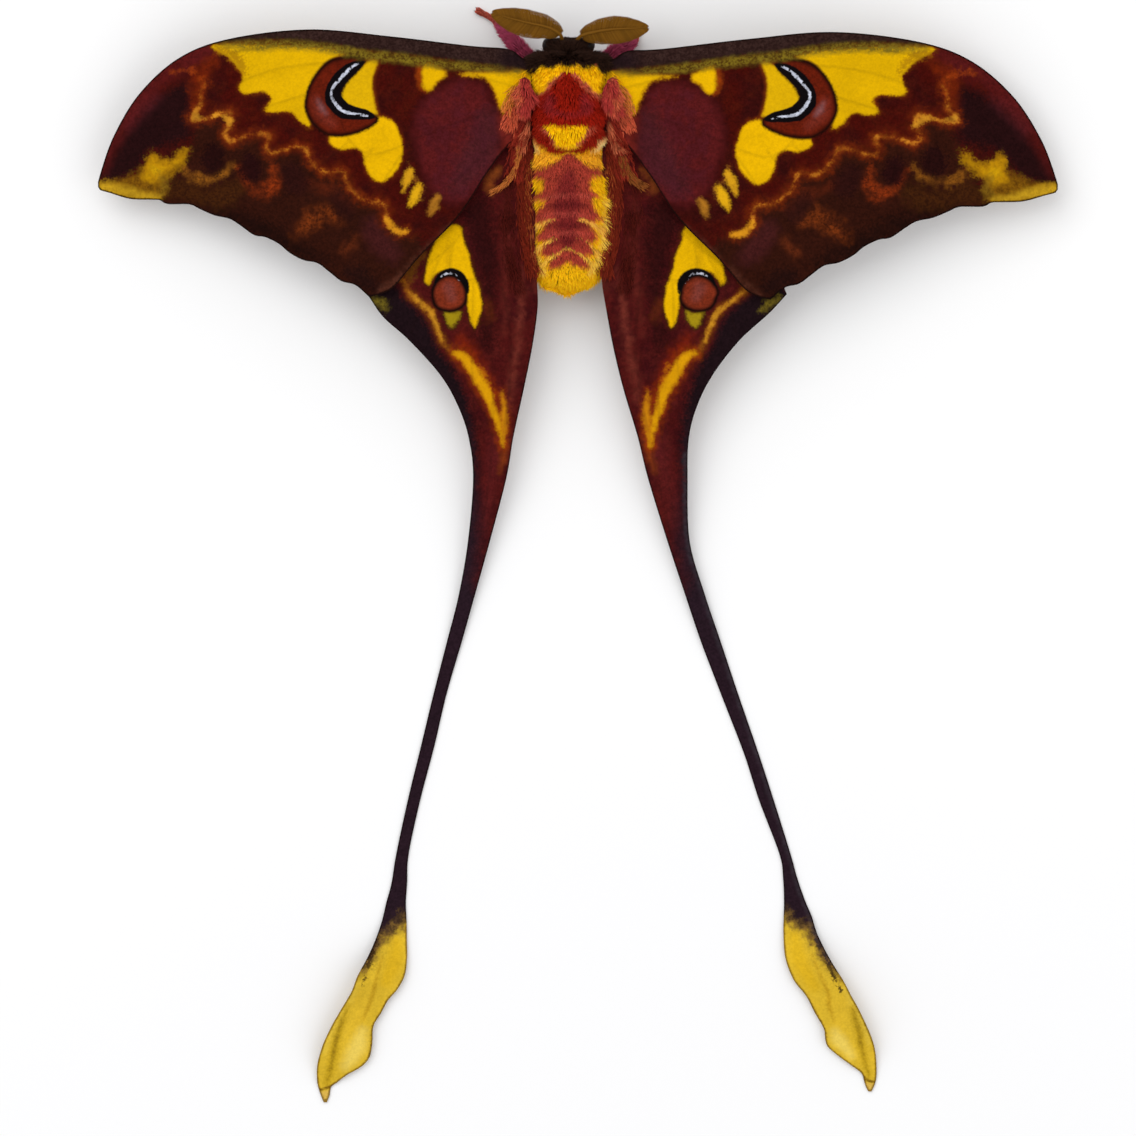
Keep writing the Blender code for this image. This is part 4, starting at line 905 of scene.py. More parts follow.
@dataclass
class Wing:
    """One wing made as a thin closed sheet whose veins are raised in its own surface."""

    markings: ClassVar[Mapping[str, Shape]] = {}

    side: Side
    spacing: float = 0.45
    membrane: float = 0.24
    rim: float = 0.08
    rim_width: float = 0.8
    vein_height: float = 0.20
    vein_half_width: float = 0.42
    vein_fade: float = 1.2
    under_relief: float = 0.4
    rim_gap: float = 0.45
    mark_gap: float = 0.3
    vein_gap: float = 1.35
    ripple: float = 0.10
    ripple_length: float = 7.0
    ripple_fade: float = 3.0
    corner_angle: float = 60.0
    root_height: float = 10.85
    arch: float = 1.2
    droop: float = 6.4
    span: float = 75.0
    sag: float = 0.0024
    sag_level: float = 61.0
    lift: float = 0.0

    def outline(self) -> Points:
        """The wing's closed outline as (distance from the midline, Y)."""
        raise NotImplementedError

    def crests(self) -> list[Points]:
        """The middle lines of the veins."""
        raise NotImplementedError

    def pattern(self, plan: Points) -> Points:
        """The places on the left wing that carry the same markings."""
        raise NotImplementedError

    def surface(self, plan: Points) -> Points:
        """Places of the sheet's middle, in the moth's frame, on the right side of the body."""
        raise NotImplementedError

    def own_distances(self, plan: Points, known: Mapping[str, Points]) -> dict[str, Points]:
        """Distances to markings that follow the wing's own form."""
        return {}

    def heights(self, plan: Points) -> Points:
        """Height of the middle surface: arched out from the root, drooping at the rim."""
        out = plan[:, 0] / self.span
        sag = self.sag * np.maximum(0.0, self.sag_level - plan[:, 1]) ** 2
        rise = self.arch * np.sin(math.pi * np.minimum(out, 1.0))
        return self.root_height + self.lift + rise - self.droop * out ** 2 - sag

    def lattice(self, outline: Points, crests: list[Points]) -> Points:
        """Evenly staggered places inside the outline, clear of it and of the veins."""
        low, high = outline.min(0), outline.max(0)
        rows = np.arange(low[1], high[1], self.spacing * math.sqrt(3) / 2)
        grid = np.array([(x, y) for k, y in enumerate(rows)
                         for x in np.arange(low[0] + (k % 2) * self.spacing / 2, high[0],
                                            self.spacing)])
        keep = distance_to_outline(grid, outline) < -self.rim_gap * self.spacing
        for crest in crests:
            keep &= distance_to_chain(grid, crest) > self.vein_gap * self.vein_half_width
        return grid[keep]

    def plan(self) -> tuple[Points, list[tuple[int, ...]], list[Points]]:
        """The flat triangulation.

        Returns:
            Its places, its triangles and the vein lines.
        """
        outline = self.outline()
        crests = self.crests()
        lines = []
        for crest in crests:
            aside = beside(crest) * self.vein_half_width
            lines.extend((crest, crest + aside, crest - aside))
        marks = np.vstack(lines)
        marks = marks[distance_to_outline(marks, outline) < -self.mark_gap * self.spacing]
        points = np.vstack((outline, marks, self.lattice(outline, crests)))
        places, _, faces, _, _, _ = delaunay_2d_cdt(
            [Vector(p) for p in points], [], [list(range(len(outline)))], 1, 0.06)
        return np.array([tuple(p) for p in places]), [tuple(f) for f in faces], crests

    def build(self, name: str) -> bpy.types.Object:
        """Make the wing as one closed piece, with its distances to every marking."""
        plan, faces, crests = self.plan()
        to_rim = -distance_to_outline(plan, self.outline())
        to_vein = np.min([distance_to_chain(plan, crest) for crest in crests], axis=0)
        ridge = self.vein_height * np.clip(1 - to_vein / self.vein_half_width, 0, 1)
        ridge *= smoothstep(to_rim, 0.0, self.vein_fade)
        thick = self.rim + (self.membrane - self.rim) * smoothstep(to_rim, 0.0, self.rim_width)
        middle = self.surface(plan)
        calm = smoothstep(to_rim, 0.0, self.ripple_fade)
        middle[:, 2] += self.ripple * waves(plan, self.ripple_length, 5) * calm
        top = middle.copy()
        top[:, 2] += thick / 2 + ridge
        under = middle.copy()
        under[:, 2] -= thick / 2 + self.under_relief * ridge
        points = np.vstack((top, under)) * (self.side.value, 1.0, 1.0)
        count = len(plan)
        uses = {(a, b) for face in faces for a, b in zip(face, face[1:] + face[:1])}
        walls = [(b, a, a + count, b + count) for a, b in uses if (b, a) not in uses]
        below = [tuple(i + count for i in reversed(face)) for face in faces]
        pattern = self.pattern(plan)
        values = {key: shape.distances(pattern, PHOTO.on_left_wing)
                  for key, shape in self.markings.items()}
        values.update({"margin": to_rim, "vein": to_vein})
        values.update(self.own_distances(plan, values))
        doubled = {key: np.concatenate((value, value)) for key, value in values.items()}
        doubled["under"] = np.concatenate((np.zeros(count), np.ones(count)))
        item = make_mesh(name, points, faces + below + walls, doubled)
        face_outward(item.data)
        item.data.set_sharp_from_angle(angle=math.radians(self.corner_angle))
        return item


@dataclass
class Forewing(Wing):
    """A hooked forewing. The right one is spread a little wider and lower."""

    markings = FOREWING_SHAPES
    lift: float = 0.9
    root_x: float = 5.6
    spread: float = 0.00064
    drop: float = 0.4
    drop_width: float = 6.0

    def outline(self) -> Points:
        """Costa, hooked tip, wavy outer margin, hind margin and root."""
        costa = ((7.15, 77.2), (9.4, 78.6), (15.4, 79.1), (27.9, 80.6), (40.4, 81.7), (52.9, 80.3),
                 (60.7, 77.4), (66.9, 71.9), (71.0, 65.2), (73.2, 59.0), (73.4, 57.6))
        margin = PHOTO.on_left_wing((
            (98, 187), (100, 190), (110, 193), (130, 199), (150, 200), (160, 200.5), (168, 204.5),
            (190, 205), (200, 209.5), (215, 216), (230, 219.5), (240, 225.5), (255, 236),
            (266, 238), (280, 245), (290, 253.5), (304, 261), (318, 264), (329, 272), (342, 282),
            (356, 286), (370, 298)))
        hind = ((31.0, 40.1), (28.9, 40.7), (26.9, 41.9), (23.2, 46.3), (17.0, 52.7), (12.6, 59.4),
                (9.0, 64.0), (self.root_x, 66.0))
        root = ((self.root_x, 66.0), (self.root_x, 75.4), (6.1, 76.6), (7.15, 77.2))
        parts = [smooth_path(costa, 0.5), smooth_path(margin, 0.5), smooth_path(hind, 0.5)]
        corners = [smooth_path(pair, 0.5) for pair in zip(root, root[1:])]
        return np.vstack([part[:-1] for part in parts + corners])

    def crests(self) -> list[Points]:
        """The radius, the cell and the veins that run from it to the margin."""
        lines = (
            ((6.6, 73.8), (18.0, 77.4), (36.0, 79.6), (50.0, 78.6), (58.0, 76.2)),
            ((6.6, 72.2), (18.0, 75.2), (32.5, 76.6), (48.0, 74.8), (63.0, 66.6), (71.2, 58.6)),
            ((6.6, 70.2), (18.0, 67.0), (27.6, 62.9), (31.2, 62.4), (34.0, 64.4), (35.4, 68.0),
             (34.8, 72.6), (32.5, 76.6)),
            ((34.6, 73.4), (50.0, 68.4), (60.0, 61.2), (66.0, 56.8)),
            ((35.0, 69.4), (47.0, 62.6), (57.4, 55.4)),
            ((34.0, 64.4), (42.0, 57.4), (49.4, 51.6)),
            ((30.4, 63.2), (37.4, 54.0), (42.2, 47.8)),
            ((24.4, 64.6), (30.6, 55.0), (36.4, 44.8)),
            ((6.6, 67.4), (15.0, 60.6), (24.0, 50.6), (30.8, 41.8)),
        )
        return [smooth_path(line, 0.5) for line in lines]

    def pattern(self, plan: Points) -> Points:
        """Both forewings are drawn on the same plan."""
        return plan

    def surface(self, plan: Points) -> Points:
        """The plan at its height, the right wing spread wider and set lower."""
        d, y = plan[:, 0], plan[:, 1]
        height = self.heights(plan)
        if self.side is Side.RIGHT:
            stretch = np.maximum(0.0, d - self.root_x)
            d = d + self.spread * stretch ** 2
            y = y - self.drop * np.minimum(1.0, stretch / self.drop_width)
        return np.column_stack((d, y, height))


@dataclass
class Hindwing(Wing):
    """A hindwing drawn out into its long tail, which comes down to the floor."""

    markings = HINDWING_SHAPES
    lift: float = -0.85
    root_x: float = 5.6
    cut: float = 12.0
    touch: float = -22.0
    tail_rest: float = 0.25
    curl: float = 0.9
    seam: float = 10.0
    full_roll: float = 20.0
    strip_inset: float = 0.35
    strip_half_width: float = 0.4
    strip_span: tuple[float, float] = (-64.0, 16.0)
    body_level: float = 38.0
    body_reach: float = 8.0
    # Lines raised as folds in the blade, with their height and width; their shapes also carry painted shade
    # in the crease and painted highlights on the ridges.
    folds: tuple[tuple[str, float, float], ...] = (
        ("blade_fold", 0.45, 0.9), ("blade_light", 0.5, 1.6), ("blade_left", 0.3, 1.2))

    def rows(self, side: Side) -> Points:
        """The tail's levels on one side, from where it leaves the wing to its tip.

        Args:
            side: The side of the body.

        Returns:
            For each level, its Y, the distance of its middle from the midline, its width and roll.
        """
        table = {
            Side.LEFT: (
                (12.0, 12.3, 5.2), (2.2, 14.0, 3.45), (-6.2, 15.9, 2.55), (-13.3, 17.8, 2.35),
                (-21.7, 20.1, 2.05), (-30.1, 22.1, 2.1), (-38.4, 24.2, 1.95),
                (-46.8, 26.0, 1.95), (-51.4, 26.5, 2.45), (-54.4, 27.0, 3.05),
                (-57.4, 27.3, 3.9, 2), (-60.4, 27.8, 5.0, 6), (-63.1, 28.4, 6.25, 12),
                (-65.8, 29.3, 7.35, 17), (-68.0, 30.3, 7.0, 19), (-69.7, 31.5, 6.5, 19),
                (-71.8, 32.7, 6.6, 18), (-73.7, 33.8, 6.55, 16), (-76.3, 34.5, 7.6, 13),
                (-78.6, 35.1, 7.9, 9), (-80.1, 35.9, 6.9, 6), (-81.4, 37.05, 4.7, 4),
                (-82.6, 37.8, 3.1, 2), (-83.3, 38.2, 2.0), (-84.5, 38.1, 1.43),
                (-85.7, 38.1, 0.5)),
            Side.RIGHT: (
                (12.0, 15.5, 6.2), (2.2, 17.2, 3.5), (-6.2, 19.8, 3.1), (-13.3, 22.2, 3.1),
                (-21.7, 25.2, 2.7), (-31.0, 28.6, 2.3), (-38.4, 31.0, 2.3),
                (-46.8, 33.9, 1.75), (-50.5, 34.7, 2.2), (-54.1, 35.4, 3.3),
                (-56.6, 35.9, 4.4, 2), (-59.3, 36.3, 5.3, 6), (-63.1, 37.4, 6.9, 12),
                (-66.5, 39.1, 7.7, 17), (-68.8, 40.6, 7.1, 19), (-70.2, 41.4, 7.1, 19),
                (-71.6, 42.1, 7.15, 18), (-74.1, 43.4, 6.9, 16), (-75.6, 43.8, 7.3, 13),
                (-76.9, 44.2, 7.3, 9), (-78.3, 45.1, 6.0, 6), (-79.7, 46.1, 4.2, 4),
                (-81.1, 47.05, 2.4, 2), (-82.2, 47.2, 1.9), (-83.2, 47.2, 1.3),
                (-84.0, 47.2, 0.5)),
        }
        return np.array([row + (0.0,) * (4 - len(row)) for row in table[side]])

    def edges(self, side: Side) -> tuple[Points, Points]:
        """The inner and the outer edge of the wing above the tail."""
        inner = {
            Side.LEFT: ((9.7, 12.0), (8.6, 18.4), (7.0, 25.7), (5.6, 32.6), (4.8, 38.6),
                        (4.9, 42.4), (5.1, 46.0), (5.2, 56.0), (5.3, 63.0), (5.6, 64.0)),
            Side.RIGHT: ((12.4, 12.0), (10.8, 18.4), (8.6, 25.7), (7.0, 32.2), (5.8, 38.6),
                         (5.2, 42.4), (5.1, 46.0), (5.2, 56.0), (5.3, 63.0), (5.6, 64.0)),
        }
        outer = {
            Side.LEFT: ((31.0, 40.1), (28.8, 37.0), (24.8, 33.4), (20.1, 28.2), (17.4, 23.6),
                        (15.6, 18.4), (14.9, 12.0)),
            Side.RIGHT: ((34.0, 40.6), (31.2, 37.6), (26.7, 33.5), (22.7, 28.4), (20.2, 23.6),
                         (18.8, 18.4), (18.6, 12.0)),
        }
        return np.array(inner[side]), np.array(outer[side])

    def read(self, side: Side, levels: Points) -> tuple[Points, ...]:
        """Middle, half width and roll of the tail at some levels."""
        table = smooth_path(self.rows(side), 0.8)[::-1] * (1.0, 1.0, 0.5, 1.0)
        return tuple(np.interp(levels, table[:, 0], table[:, k]) for k in (1, 2, 3))

    def outline(self) -> Points:
        """The wing's edges with the tail's drawn on from them."""
        inner, outer = self.edges(self.side)
        root = ((self.root_x, 64.0), (self.root_x, 68.2))
        costa = ((self.root_x, 68.2), (14.0, 62.4), (24.0, 55.0), (31.2, 47.0), tuple(outer[0]))
        level, middle, width, _ = self.rows(self.side).T
        down = np.column_stack((middle + width / 2, level))
        up = np.column_stack((middle - width / 2, level))[::-1]
        parts = (smooth_path(costa, 0.5)[:-1], smooth_path(np.vstack((outer[:-1], down)), 0.5),
                 smooth_path(np.vstack((up, inner[1:])), 0.5)[:-1], smooth_path(root, 0.5)[:-1])
        chain = np.vstack(parts)
        gaps = np.linalg.norm(chain - np.roll(chain, 1, 0), axis=1)
        return chain[gaps > 0.08]

    def warp(self, points: Points, source: Side, target: Side) -> Points:
        """Carry places from between one side's edges to the same place between the other's."""
        if source is target:
            return points
        d, y = points[:, 0], points[:, 1]
        levels = {side: self.rows(side)[:, 0] for side in Side}
        new_y = np.where(y < self.cut, np.interp(y, levels[source][::-1], levels[target][::-1]), y)
        spans = []
        for side, level in ((source, y), (target, new_y)):
            inner, outer = self.edges(side)
            middle, half, _ = self.read(side, level)
            low = np.interp(level, inner[:, 1], inner[:, 0])
            high = np.interp(level, outer[::-1, 1], outer[::-1, 0])
            spans.append((np.where(level < self.cut, middle - half, low),
                          np.where(level < self.cut, middle + half, high)))
        (low, high), (new_low, new_high) = spans
        share = (d - low) / np.maximum(high - low, 1e-6)
        return np.column_stack((new_low + share * (new_high - new_low), new_y))

    def crests(self) -> list[Points]:
        """The hindwing's veins, three of them running down to the tail."""
        lines = (
            ((6.7, 66.6), (14.0, 60.4), (22.0, 53.6), (29.6, 45.6)),
            ((6.7, 65.6), (12.0, 56.0), (18.0, 48.4), (24.4, 43.0), (28.4, 38.6)),
            ((12.0, 56.0), (11.3, 51.5), (11.4, 47.5), (12.6, 44.4), (14.8, 42.8), (17.0, 43.2),
             (18.4, 45.2), (18.0, 48.4)),
            ((19.8, 46.6), (23.0, 39.4), (24.4, 34.6)),
            ((18.4, 45.2), (19.4, 36.0), (18.6, 28.2)),
            ((14.8, 42.8), (15.0, 28.0), (13.8, 13.4), (14.6, 4.0)),
            ((12.6, 44.4), (11.8, 28.0), (12.2, 13.4), (13.9, 2.4)),
            ((11.4, 47.5), (9.0, 32.0), (10.8, 13.4), (12.8, 3.6)),
        )
        return [self.warp(smooth_path(line, 0.5), Side.LEFT, self.side) for line in lines]

    def pattern(self, plan: Points) -> Points:
        """The place on the left wing and tail between the same edges."""
        return self.warp(plan, self.side, Side.LEFT)

    def surface(self, plan: Points) -> Points:
        """The plan at its height, the tail rolled and cupped where it widens into the blade."""
        d, y = plan[:, 0], plan[:, 1]
        middle, half, roll = self.read(self.side, y)
        u = np.clip((d - middle) / half, -1, 1)
        tilt = np.radians(roll)
        _, first_middle, first_width, _ = self.rows(self.side)[0]
        start = float(self.heights(np.array([(first_middle, self.cut)]))[0])
        share = np.maximum(0.0, y - self.touch) / (self.cut - self.touch)
        tail = self.tail_rest + (start - self.tail_rest) * share ** 2
        cup = self.curl * np.sin(tilt) / math.sin(math.radians(self.full_roll))
        tail = tail + np.sin(tilt) * half * (1 + u) + cup * u * u
        at_cut = self.heights(np.column_stack((first_middle + u * first_width / 2,
                                               np.full(len(u), self.cut)))) - start
        tail = tail + at_cut * smoothstep(y, self.cut - self.seam, self.cut)
        in_tail = y < self.cut
        height = np.where(in_tail, tail, self.heights(plan))
        pattern = self.pattern(plan)
        for mark, rise, width in self.folds:
            gap = np.maximum(self.markings[mark].distances(pattern, PHOTO.on_left_wing), 0)
            height = height + rise * np.exp(-(gap / width) ** 2)
        return np.column_stack((d, y, height))

    def own_distances(self, plan: Points, known: Mapping[str, Points]) -> dict[str, Points]:
        """The rims of the dark part and of the blade, and the right tail's paler edge."""
        rim = known["margin"]
        strip = np.full(len(plan), 50.0)
        if self.side is Side.RIGHT:
            level = plan[:, 1]
            middle, half, _ = self.read(self.side, level)
            low, high = self.strip_span
            from_middle = np.abs(middle + half - plan[:, 0] - self.strip_inset)
            ends = np.maximum(level - high, low - level)
            strip = np.maximum(from_middle - self.strip_half_width, ends)
        beside_body = np.minimum(plan[:, 1] - self.body_level, self.body_reach - plan[:, 0])
        rim = np.maximum(rim, beside_body)
        return {
            "margin": np.maximum(rim, 0.5 - known["blade"]),
            "blade_rim": np.maximum(rim - 0.2, known["blade"]),
            "outer_strip": strip,
        }


# Skins

@dataclass(frozen=True)
class Skin:
    """A closed lofted surface and what its coat needs to know at each point."""

    item: bpy.types.Object
    points: Points
    normals: Points

    def tangent(self, ways: Points) -> Points:
        """Directions laid into the surface, one unit long."""
        flat = ways - (ways * self.normals).sum(1)[:, None] * self.normals
        return flat / np.maximum(np.linalg.norm(flat, axis=1), 1e-9)[:, None]

    def comb(self, ways: Points, lift: Points, length: Points, **covers: Points) -> None:
        """Store which way the hair lies, how long it is and where it grows.

        Args:
            ways: The direction of the lie at each point.
            lift: The hair's angle from the surface, in degrees.
            length: The hair's length, in millimetres.
            covers: For each region's name, the share of full density at each point.
        """
        rise = np.radians(lift)[:, None]
        lie = self.tangent(ways) * np.cos(rise) + self.normals * np.sin(rise)
        store(self.item.data, {"comb": lie, "nap": length * MM, **covers})


def loft(name: str, rings: Points) -> Skin:
    """Close a row of rings into one skin with a cylinder's unwrap.

    Args:
        name: The piece's name.
        rings: Places by ring, by turn and by axis, in the moth's frame.

    Returns:
        The skin, its ends closed at their middles.
    """
    count, sides, _ = rings.shape
    middles = rings.mean(1)
    ends = 1.5 * middles[[0, -1]] - 0.5 * middles[[1, -2]]
    points = np.vstack((rings.reshape(-1, 3), ends))
    first, last, top = count * sides, count * sides + 1, count - 1
    faces = ring_faces(count, sides)
    faces += [(first, (k + 1) % sides, k) for k in range(sides)]
    base = top * sides
    faces += [(last, base + k, base + (k + 1) % sides) for k in range(sides)]
    item = make_mesh(name, points, faces)
    caps = [((k + 0.5, -0.5), (k + 1, 0), (k, 0)) for k in range(sides)]
    caps += [((k + 0.5, top + 0.5), (k, top), (k + 1, top)) for k in range(sides)]
    corners = np.vstack((ring_squares(count, sides).reshape(-1, 2), np.reshape(caps, (-1, 2))))
    unwrap(item.data, 0.02 + 0.96 * (corners + (0.0, 0.5)) / (sides, count))
    face_outward(item.data)
    normals = np.zeros(len(points) * 3, np.float32)
    item.data.vertex_normals.foreach_get("vector", normals)
    return Skin(item, points, normals.reshape(-1, 3).astype(float))


def tube(path: Points, radii: Points, sides: int) -> Points:
    """Rings round a bent path.

    Args:
        path: Places along the path.
        radii: The radius at each place.
        sides: Points in each ring.

    Returns:
        Places by ring, by turn and by axis.
    """
    ahead = headings(path)
    across = np.cross(ahead[0], (0.0, 0.0, 1.0))
    if np.linalg.norm(across) < 0.1:
        across = np.cross(ahead[0], (0.0, 1.0, 0.0))
    turns = np.arange(sides) / sides * math.tau
    rings = []
    for place, way, radius in zip(path, ahead, radii):
        across = across - (across @ way) * way
        across /= np.linalg.norm(across)
        up = np.cross(across, way)
        rings.append(place + radius * (np.outer(np.cos(turns), across)
                                       + np.outer(np.sin(turns), up)))
    return np.array(rings)


def ball_rings(centre: Sequence[float], half: Sequence[float], sides: int, rings: int,
               pole: int) -> Points:
    """Rings round a ball that is drawn out along the axes.

    Args:
        centre: The ball's middle.
        half: Its half sizes along the three axes.
        sides: Points in each ring.
        rings: The number of rings.
        pole: The axis that the rings go round, 0 for X and 1 for Y.

    Returns:
        Places by ring, by turn and by axis.
    """
    around = np.arange(sides) / sides * math.tau
    table = []
    for turn in np.linspace(0, math.pi, rings + 2)[1:-1]:
        ring = [math.sin(turn) * np.cos(around), math.sin(turn) * np.sin(around)]
        ring.insert(pole, np.full(sides, math.cos(turn)))
        table.append(np.column_stack(ring))
    return np.array(centre) + np.array(table) * half


# Coat

DROPPED = ("SkinUV", "root_uv", "tuft_place", "comb", "nap")
TUFT_TRIANGLES = 16
MOST_TRIANGLES = 190000
PATCH_SIZE = 0.003
RAY_SCALE = 2.0


@dataclass(frozen=True)
class Tuft:
    """The form of one tuft: a flat tapered spike, one unit long, that bends at its tip."""

    name: str
    rings: tuple[tuple[float, float, float, float], ...] = (
        (0.00, 0.30, 0.20, 0.00), (0.30, 0.50, 0.30, 0.07), (0.70, 0.36, 0.22, 0.05))
    tip_bend: float = -0.10

    def build(self) -> bpy.types.Object:
        """Make the tuft, which is only used as a pattern."""
        points = [(bend + half_depth * math.cos(turn), half_width * math.sin(turn)
                   * 2 / math.sqrt(3), height)
                  for height, half_width, half_depth, bend in self.rings
                  for turn in (0.0, math.tau / 3, 2 * math.tau / 3)]
        tip = len(points)
        points.append((self.tip_bend, 0.0, 1.0))
        faces = ring_faces(len(self.rings), 3)
        faces += [(tip - 3 + k, tip - 3 + (k + 1) % 3, tip) for k in range(3)]
        faces.append((2, 1, 0))
        mesh = plain_mesh(self.name, points, faces)
        patch = [(0.5 + y / 1.3, 0.05 + 0.9 * z, 0.0) for _, y, z in points]
        store(mesh, {"along": [z for _, _, z in points], "tuft_place": patch})
        return bpy.data.objects.new(self.name, mesh)


def coat_group() -> bpy.types.NodeTree:
    """The nodes that grow tufts over a skin along its stored lie."""
    if found := bpy.data.node_groups.get("tuft_coat"):
        return found
    kit, entry = start_group("tuft_coat", "GeometryNodeTree", {
        "Skin": "Geometry", "Tuft": "Object", "Cover": "String", "Density": "Float",
        "Width": "Float", "Seed": "Int", "Material": "Material"}, {"Coat": "Geometry"})
    seed, kind = entry["Seed"], "FLOAT_VECTOR"
    density = kit.times(entry["Density"], kit.named(entry["Cover"]))
    spread = kit.add("GeometryNodeDistributePointsOnFaces",
                     {"Mesh": entry["Skin"], "Seed": seed, "Density": density}).outputs
    roots = kit.keep(spread["Points"], "tone", kit.chance(0.0, 1.0, seed, 3))
    roots = kit.keep(roots, "root_uv", kit.named("SkinUV", kind), kind)
    sway = kit.add("FunctionNodeRandomValue", {0: (-0.16,) * 3, 1: (0.16,) * 3, "Seed": seed},
                   data_type=kind).outputs[0]
    lie = kit.vectors("ADD", kit.named("comb", kind), sway)
    width = kit.times(entry["Width"], kit.chance(0.7, 1.25, seed, 5))
    length = kit.times(kit.named("nap"), kit.chance(0.6, 1.15, seed, 7))
    stand_on_roots(kit, entry, roots, (lie, spread["Normal"]), (width, length))
    return kit.tree


def stand_on_roots(kit: NodeKit, entry: Mapping[str, bpy.types.NodeSocket], roots: Value,
                   ways: Sequence[Value], sizes: Sequence[Value]) -> None:
    """End a group by standing its pattern on every root as one solid mesh.

    Args:
        kit: The group's nodes.
        entry: The group's inputs, Tuft and Material among them.
        roots: The points that carry root_uv.
        ways: Which way each tuft points, and which way its front faces.
        sizes: The width and the length of each tuft.
    """
    turned = kit.add("FunctionNodeAlignRotationToVector", {"Vector": ways[0]}, axis="Z").outputs[0]
    turned = kit.add("FunctionNodeAlignRotationToVector", {"Rotation": turned, "Vector": ways[1]},
                     axis="X", pivot_axis="Z").outputs[0]
    size = kit.add("ShaderNodeCombineXYZ", {0: sizes[0], 1: sizes[0], 2: sizes[1]}).outputs[0]
    pattern = kit.add("GeometryNodeObjectInfo", {"Object": entry["Tuft"]}).outputs["Geometry"]
    grown = kit.add("GeometryNodeInstanceOnPoints", {
        "Points": roots, "Instance": pattern, "Rotation": turned, "Scale": size}).outputs[0]
    solid = kit.add("GeometryNodeRealizeInstances", {"Geometry": grown}).outputs[0]
    patch = kit.add("ShaderNodeVectorMath", {0: kit.named("tuft_place", "FLOAT_VECTOR"),
                                             3: PATCH_SIZE}, operation="SCALE").outputs[0]
    place = kit.vectors("ADD", kit.named("root_uv", "FLOAT_VECTOR"), patch)
    solid = kit.keep(solid, "OFBake", place, "FLOAT2", "CORNER")
    done = kit.add("GeometryNodeSetMaterial", {"Geometry": solid, "Material": entry["Material"]})
    kit.add("NodeGroupOutput", {"Coat": done.outputs[0]})


def grow_piece(name: str, mesh: bpy.types.Mesh, group: bpy.types.NodeTree,
               settings: Mapping[str, object]) -> None:
    """Run a growing group on a mesh and keep what it grows as a finished piece.

    Args:
        name: The piece's name.
        mesh: The mesh that carries the roots' values.
        group: The nodes that grow the piece.
        settings: For each input of the group, its value.
    """
    keys = {item.name: item.identifier for item in group.interface.items_tree
            if item.in_out == "INPUT"}
    host = put("coat_host", mesh)
    modifier = host.modifiers.new("coat", "NODES")
    modifier.node_group = group
    for key, value in settings.items():
        modifier[keys[key]] = value
    graph = bpy.context.evaluated_depsgraph_get()
    grown = bpy.data.meshes.new_from_object(host.evaluated_get(graph))
    bpy.data.objects.remove(host)
    for key in list(grown.attributes.keys()):
        if key in DROPPED or key.startswith("cover_"):
            grown.attributes.remove(grown.attributes[key])
    enter(put(name, grown))


@dataclass(frozen=True)
class Coat:
    """Tufts grown over one region of a skin."""

    name: str
    cover: str
    slot: str
    density: float
    width: float
    seed: int

    def grow(self, skin: Skin, tuft: bpy.types.Object, material: bpy.types.Material) -> None:
        """Grow the tufts as solid meshes, in as many pieces as their number asks for.

        Args:
            skin: The skin, whose lie and cover are stored.
            tuft: The pattern of one tuft.
            material: The coat's material.
        """
        area = self.covered_area(skin)
        pieces = max(1, math.ceil(area * self.density * TUFT_TRIANGLES / MOST_TRIANGLES))
        for piece in range(pieces):
            name = self.name if pieces == 1 else f"{self.name}_{piece + 1}"
            grow_piece(name, skin.item.data, coat_group(), {
                "Tuft": tuft, "Cover": self.cover, "Width": self.width * MM,
                "Density": self.density / pieces / MM ** 2, "Seed": self.seed + piece,
                "Material": material})

    def covered_area(self, skin: Skin) -> float:
        """The skin's area under this coat, in square millimetres."""
        mesh = skin.item.data
        share = np.zeros(len(mesh.vertices), np.float32)
        mesh.attributes[self.cover].data.foreach_get("value", share)
        return sum(face.area * float(np.mean(share[list(face.vertices)]))
                   for face in mesh.polygons) / MM ** 2


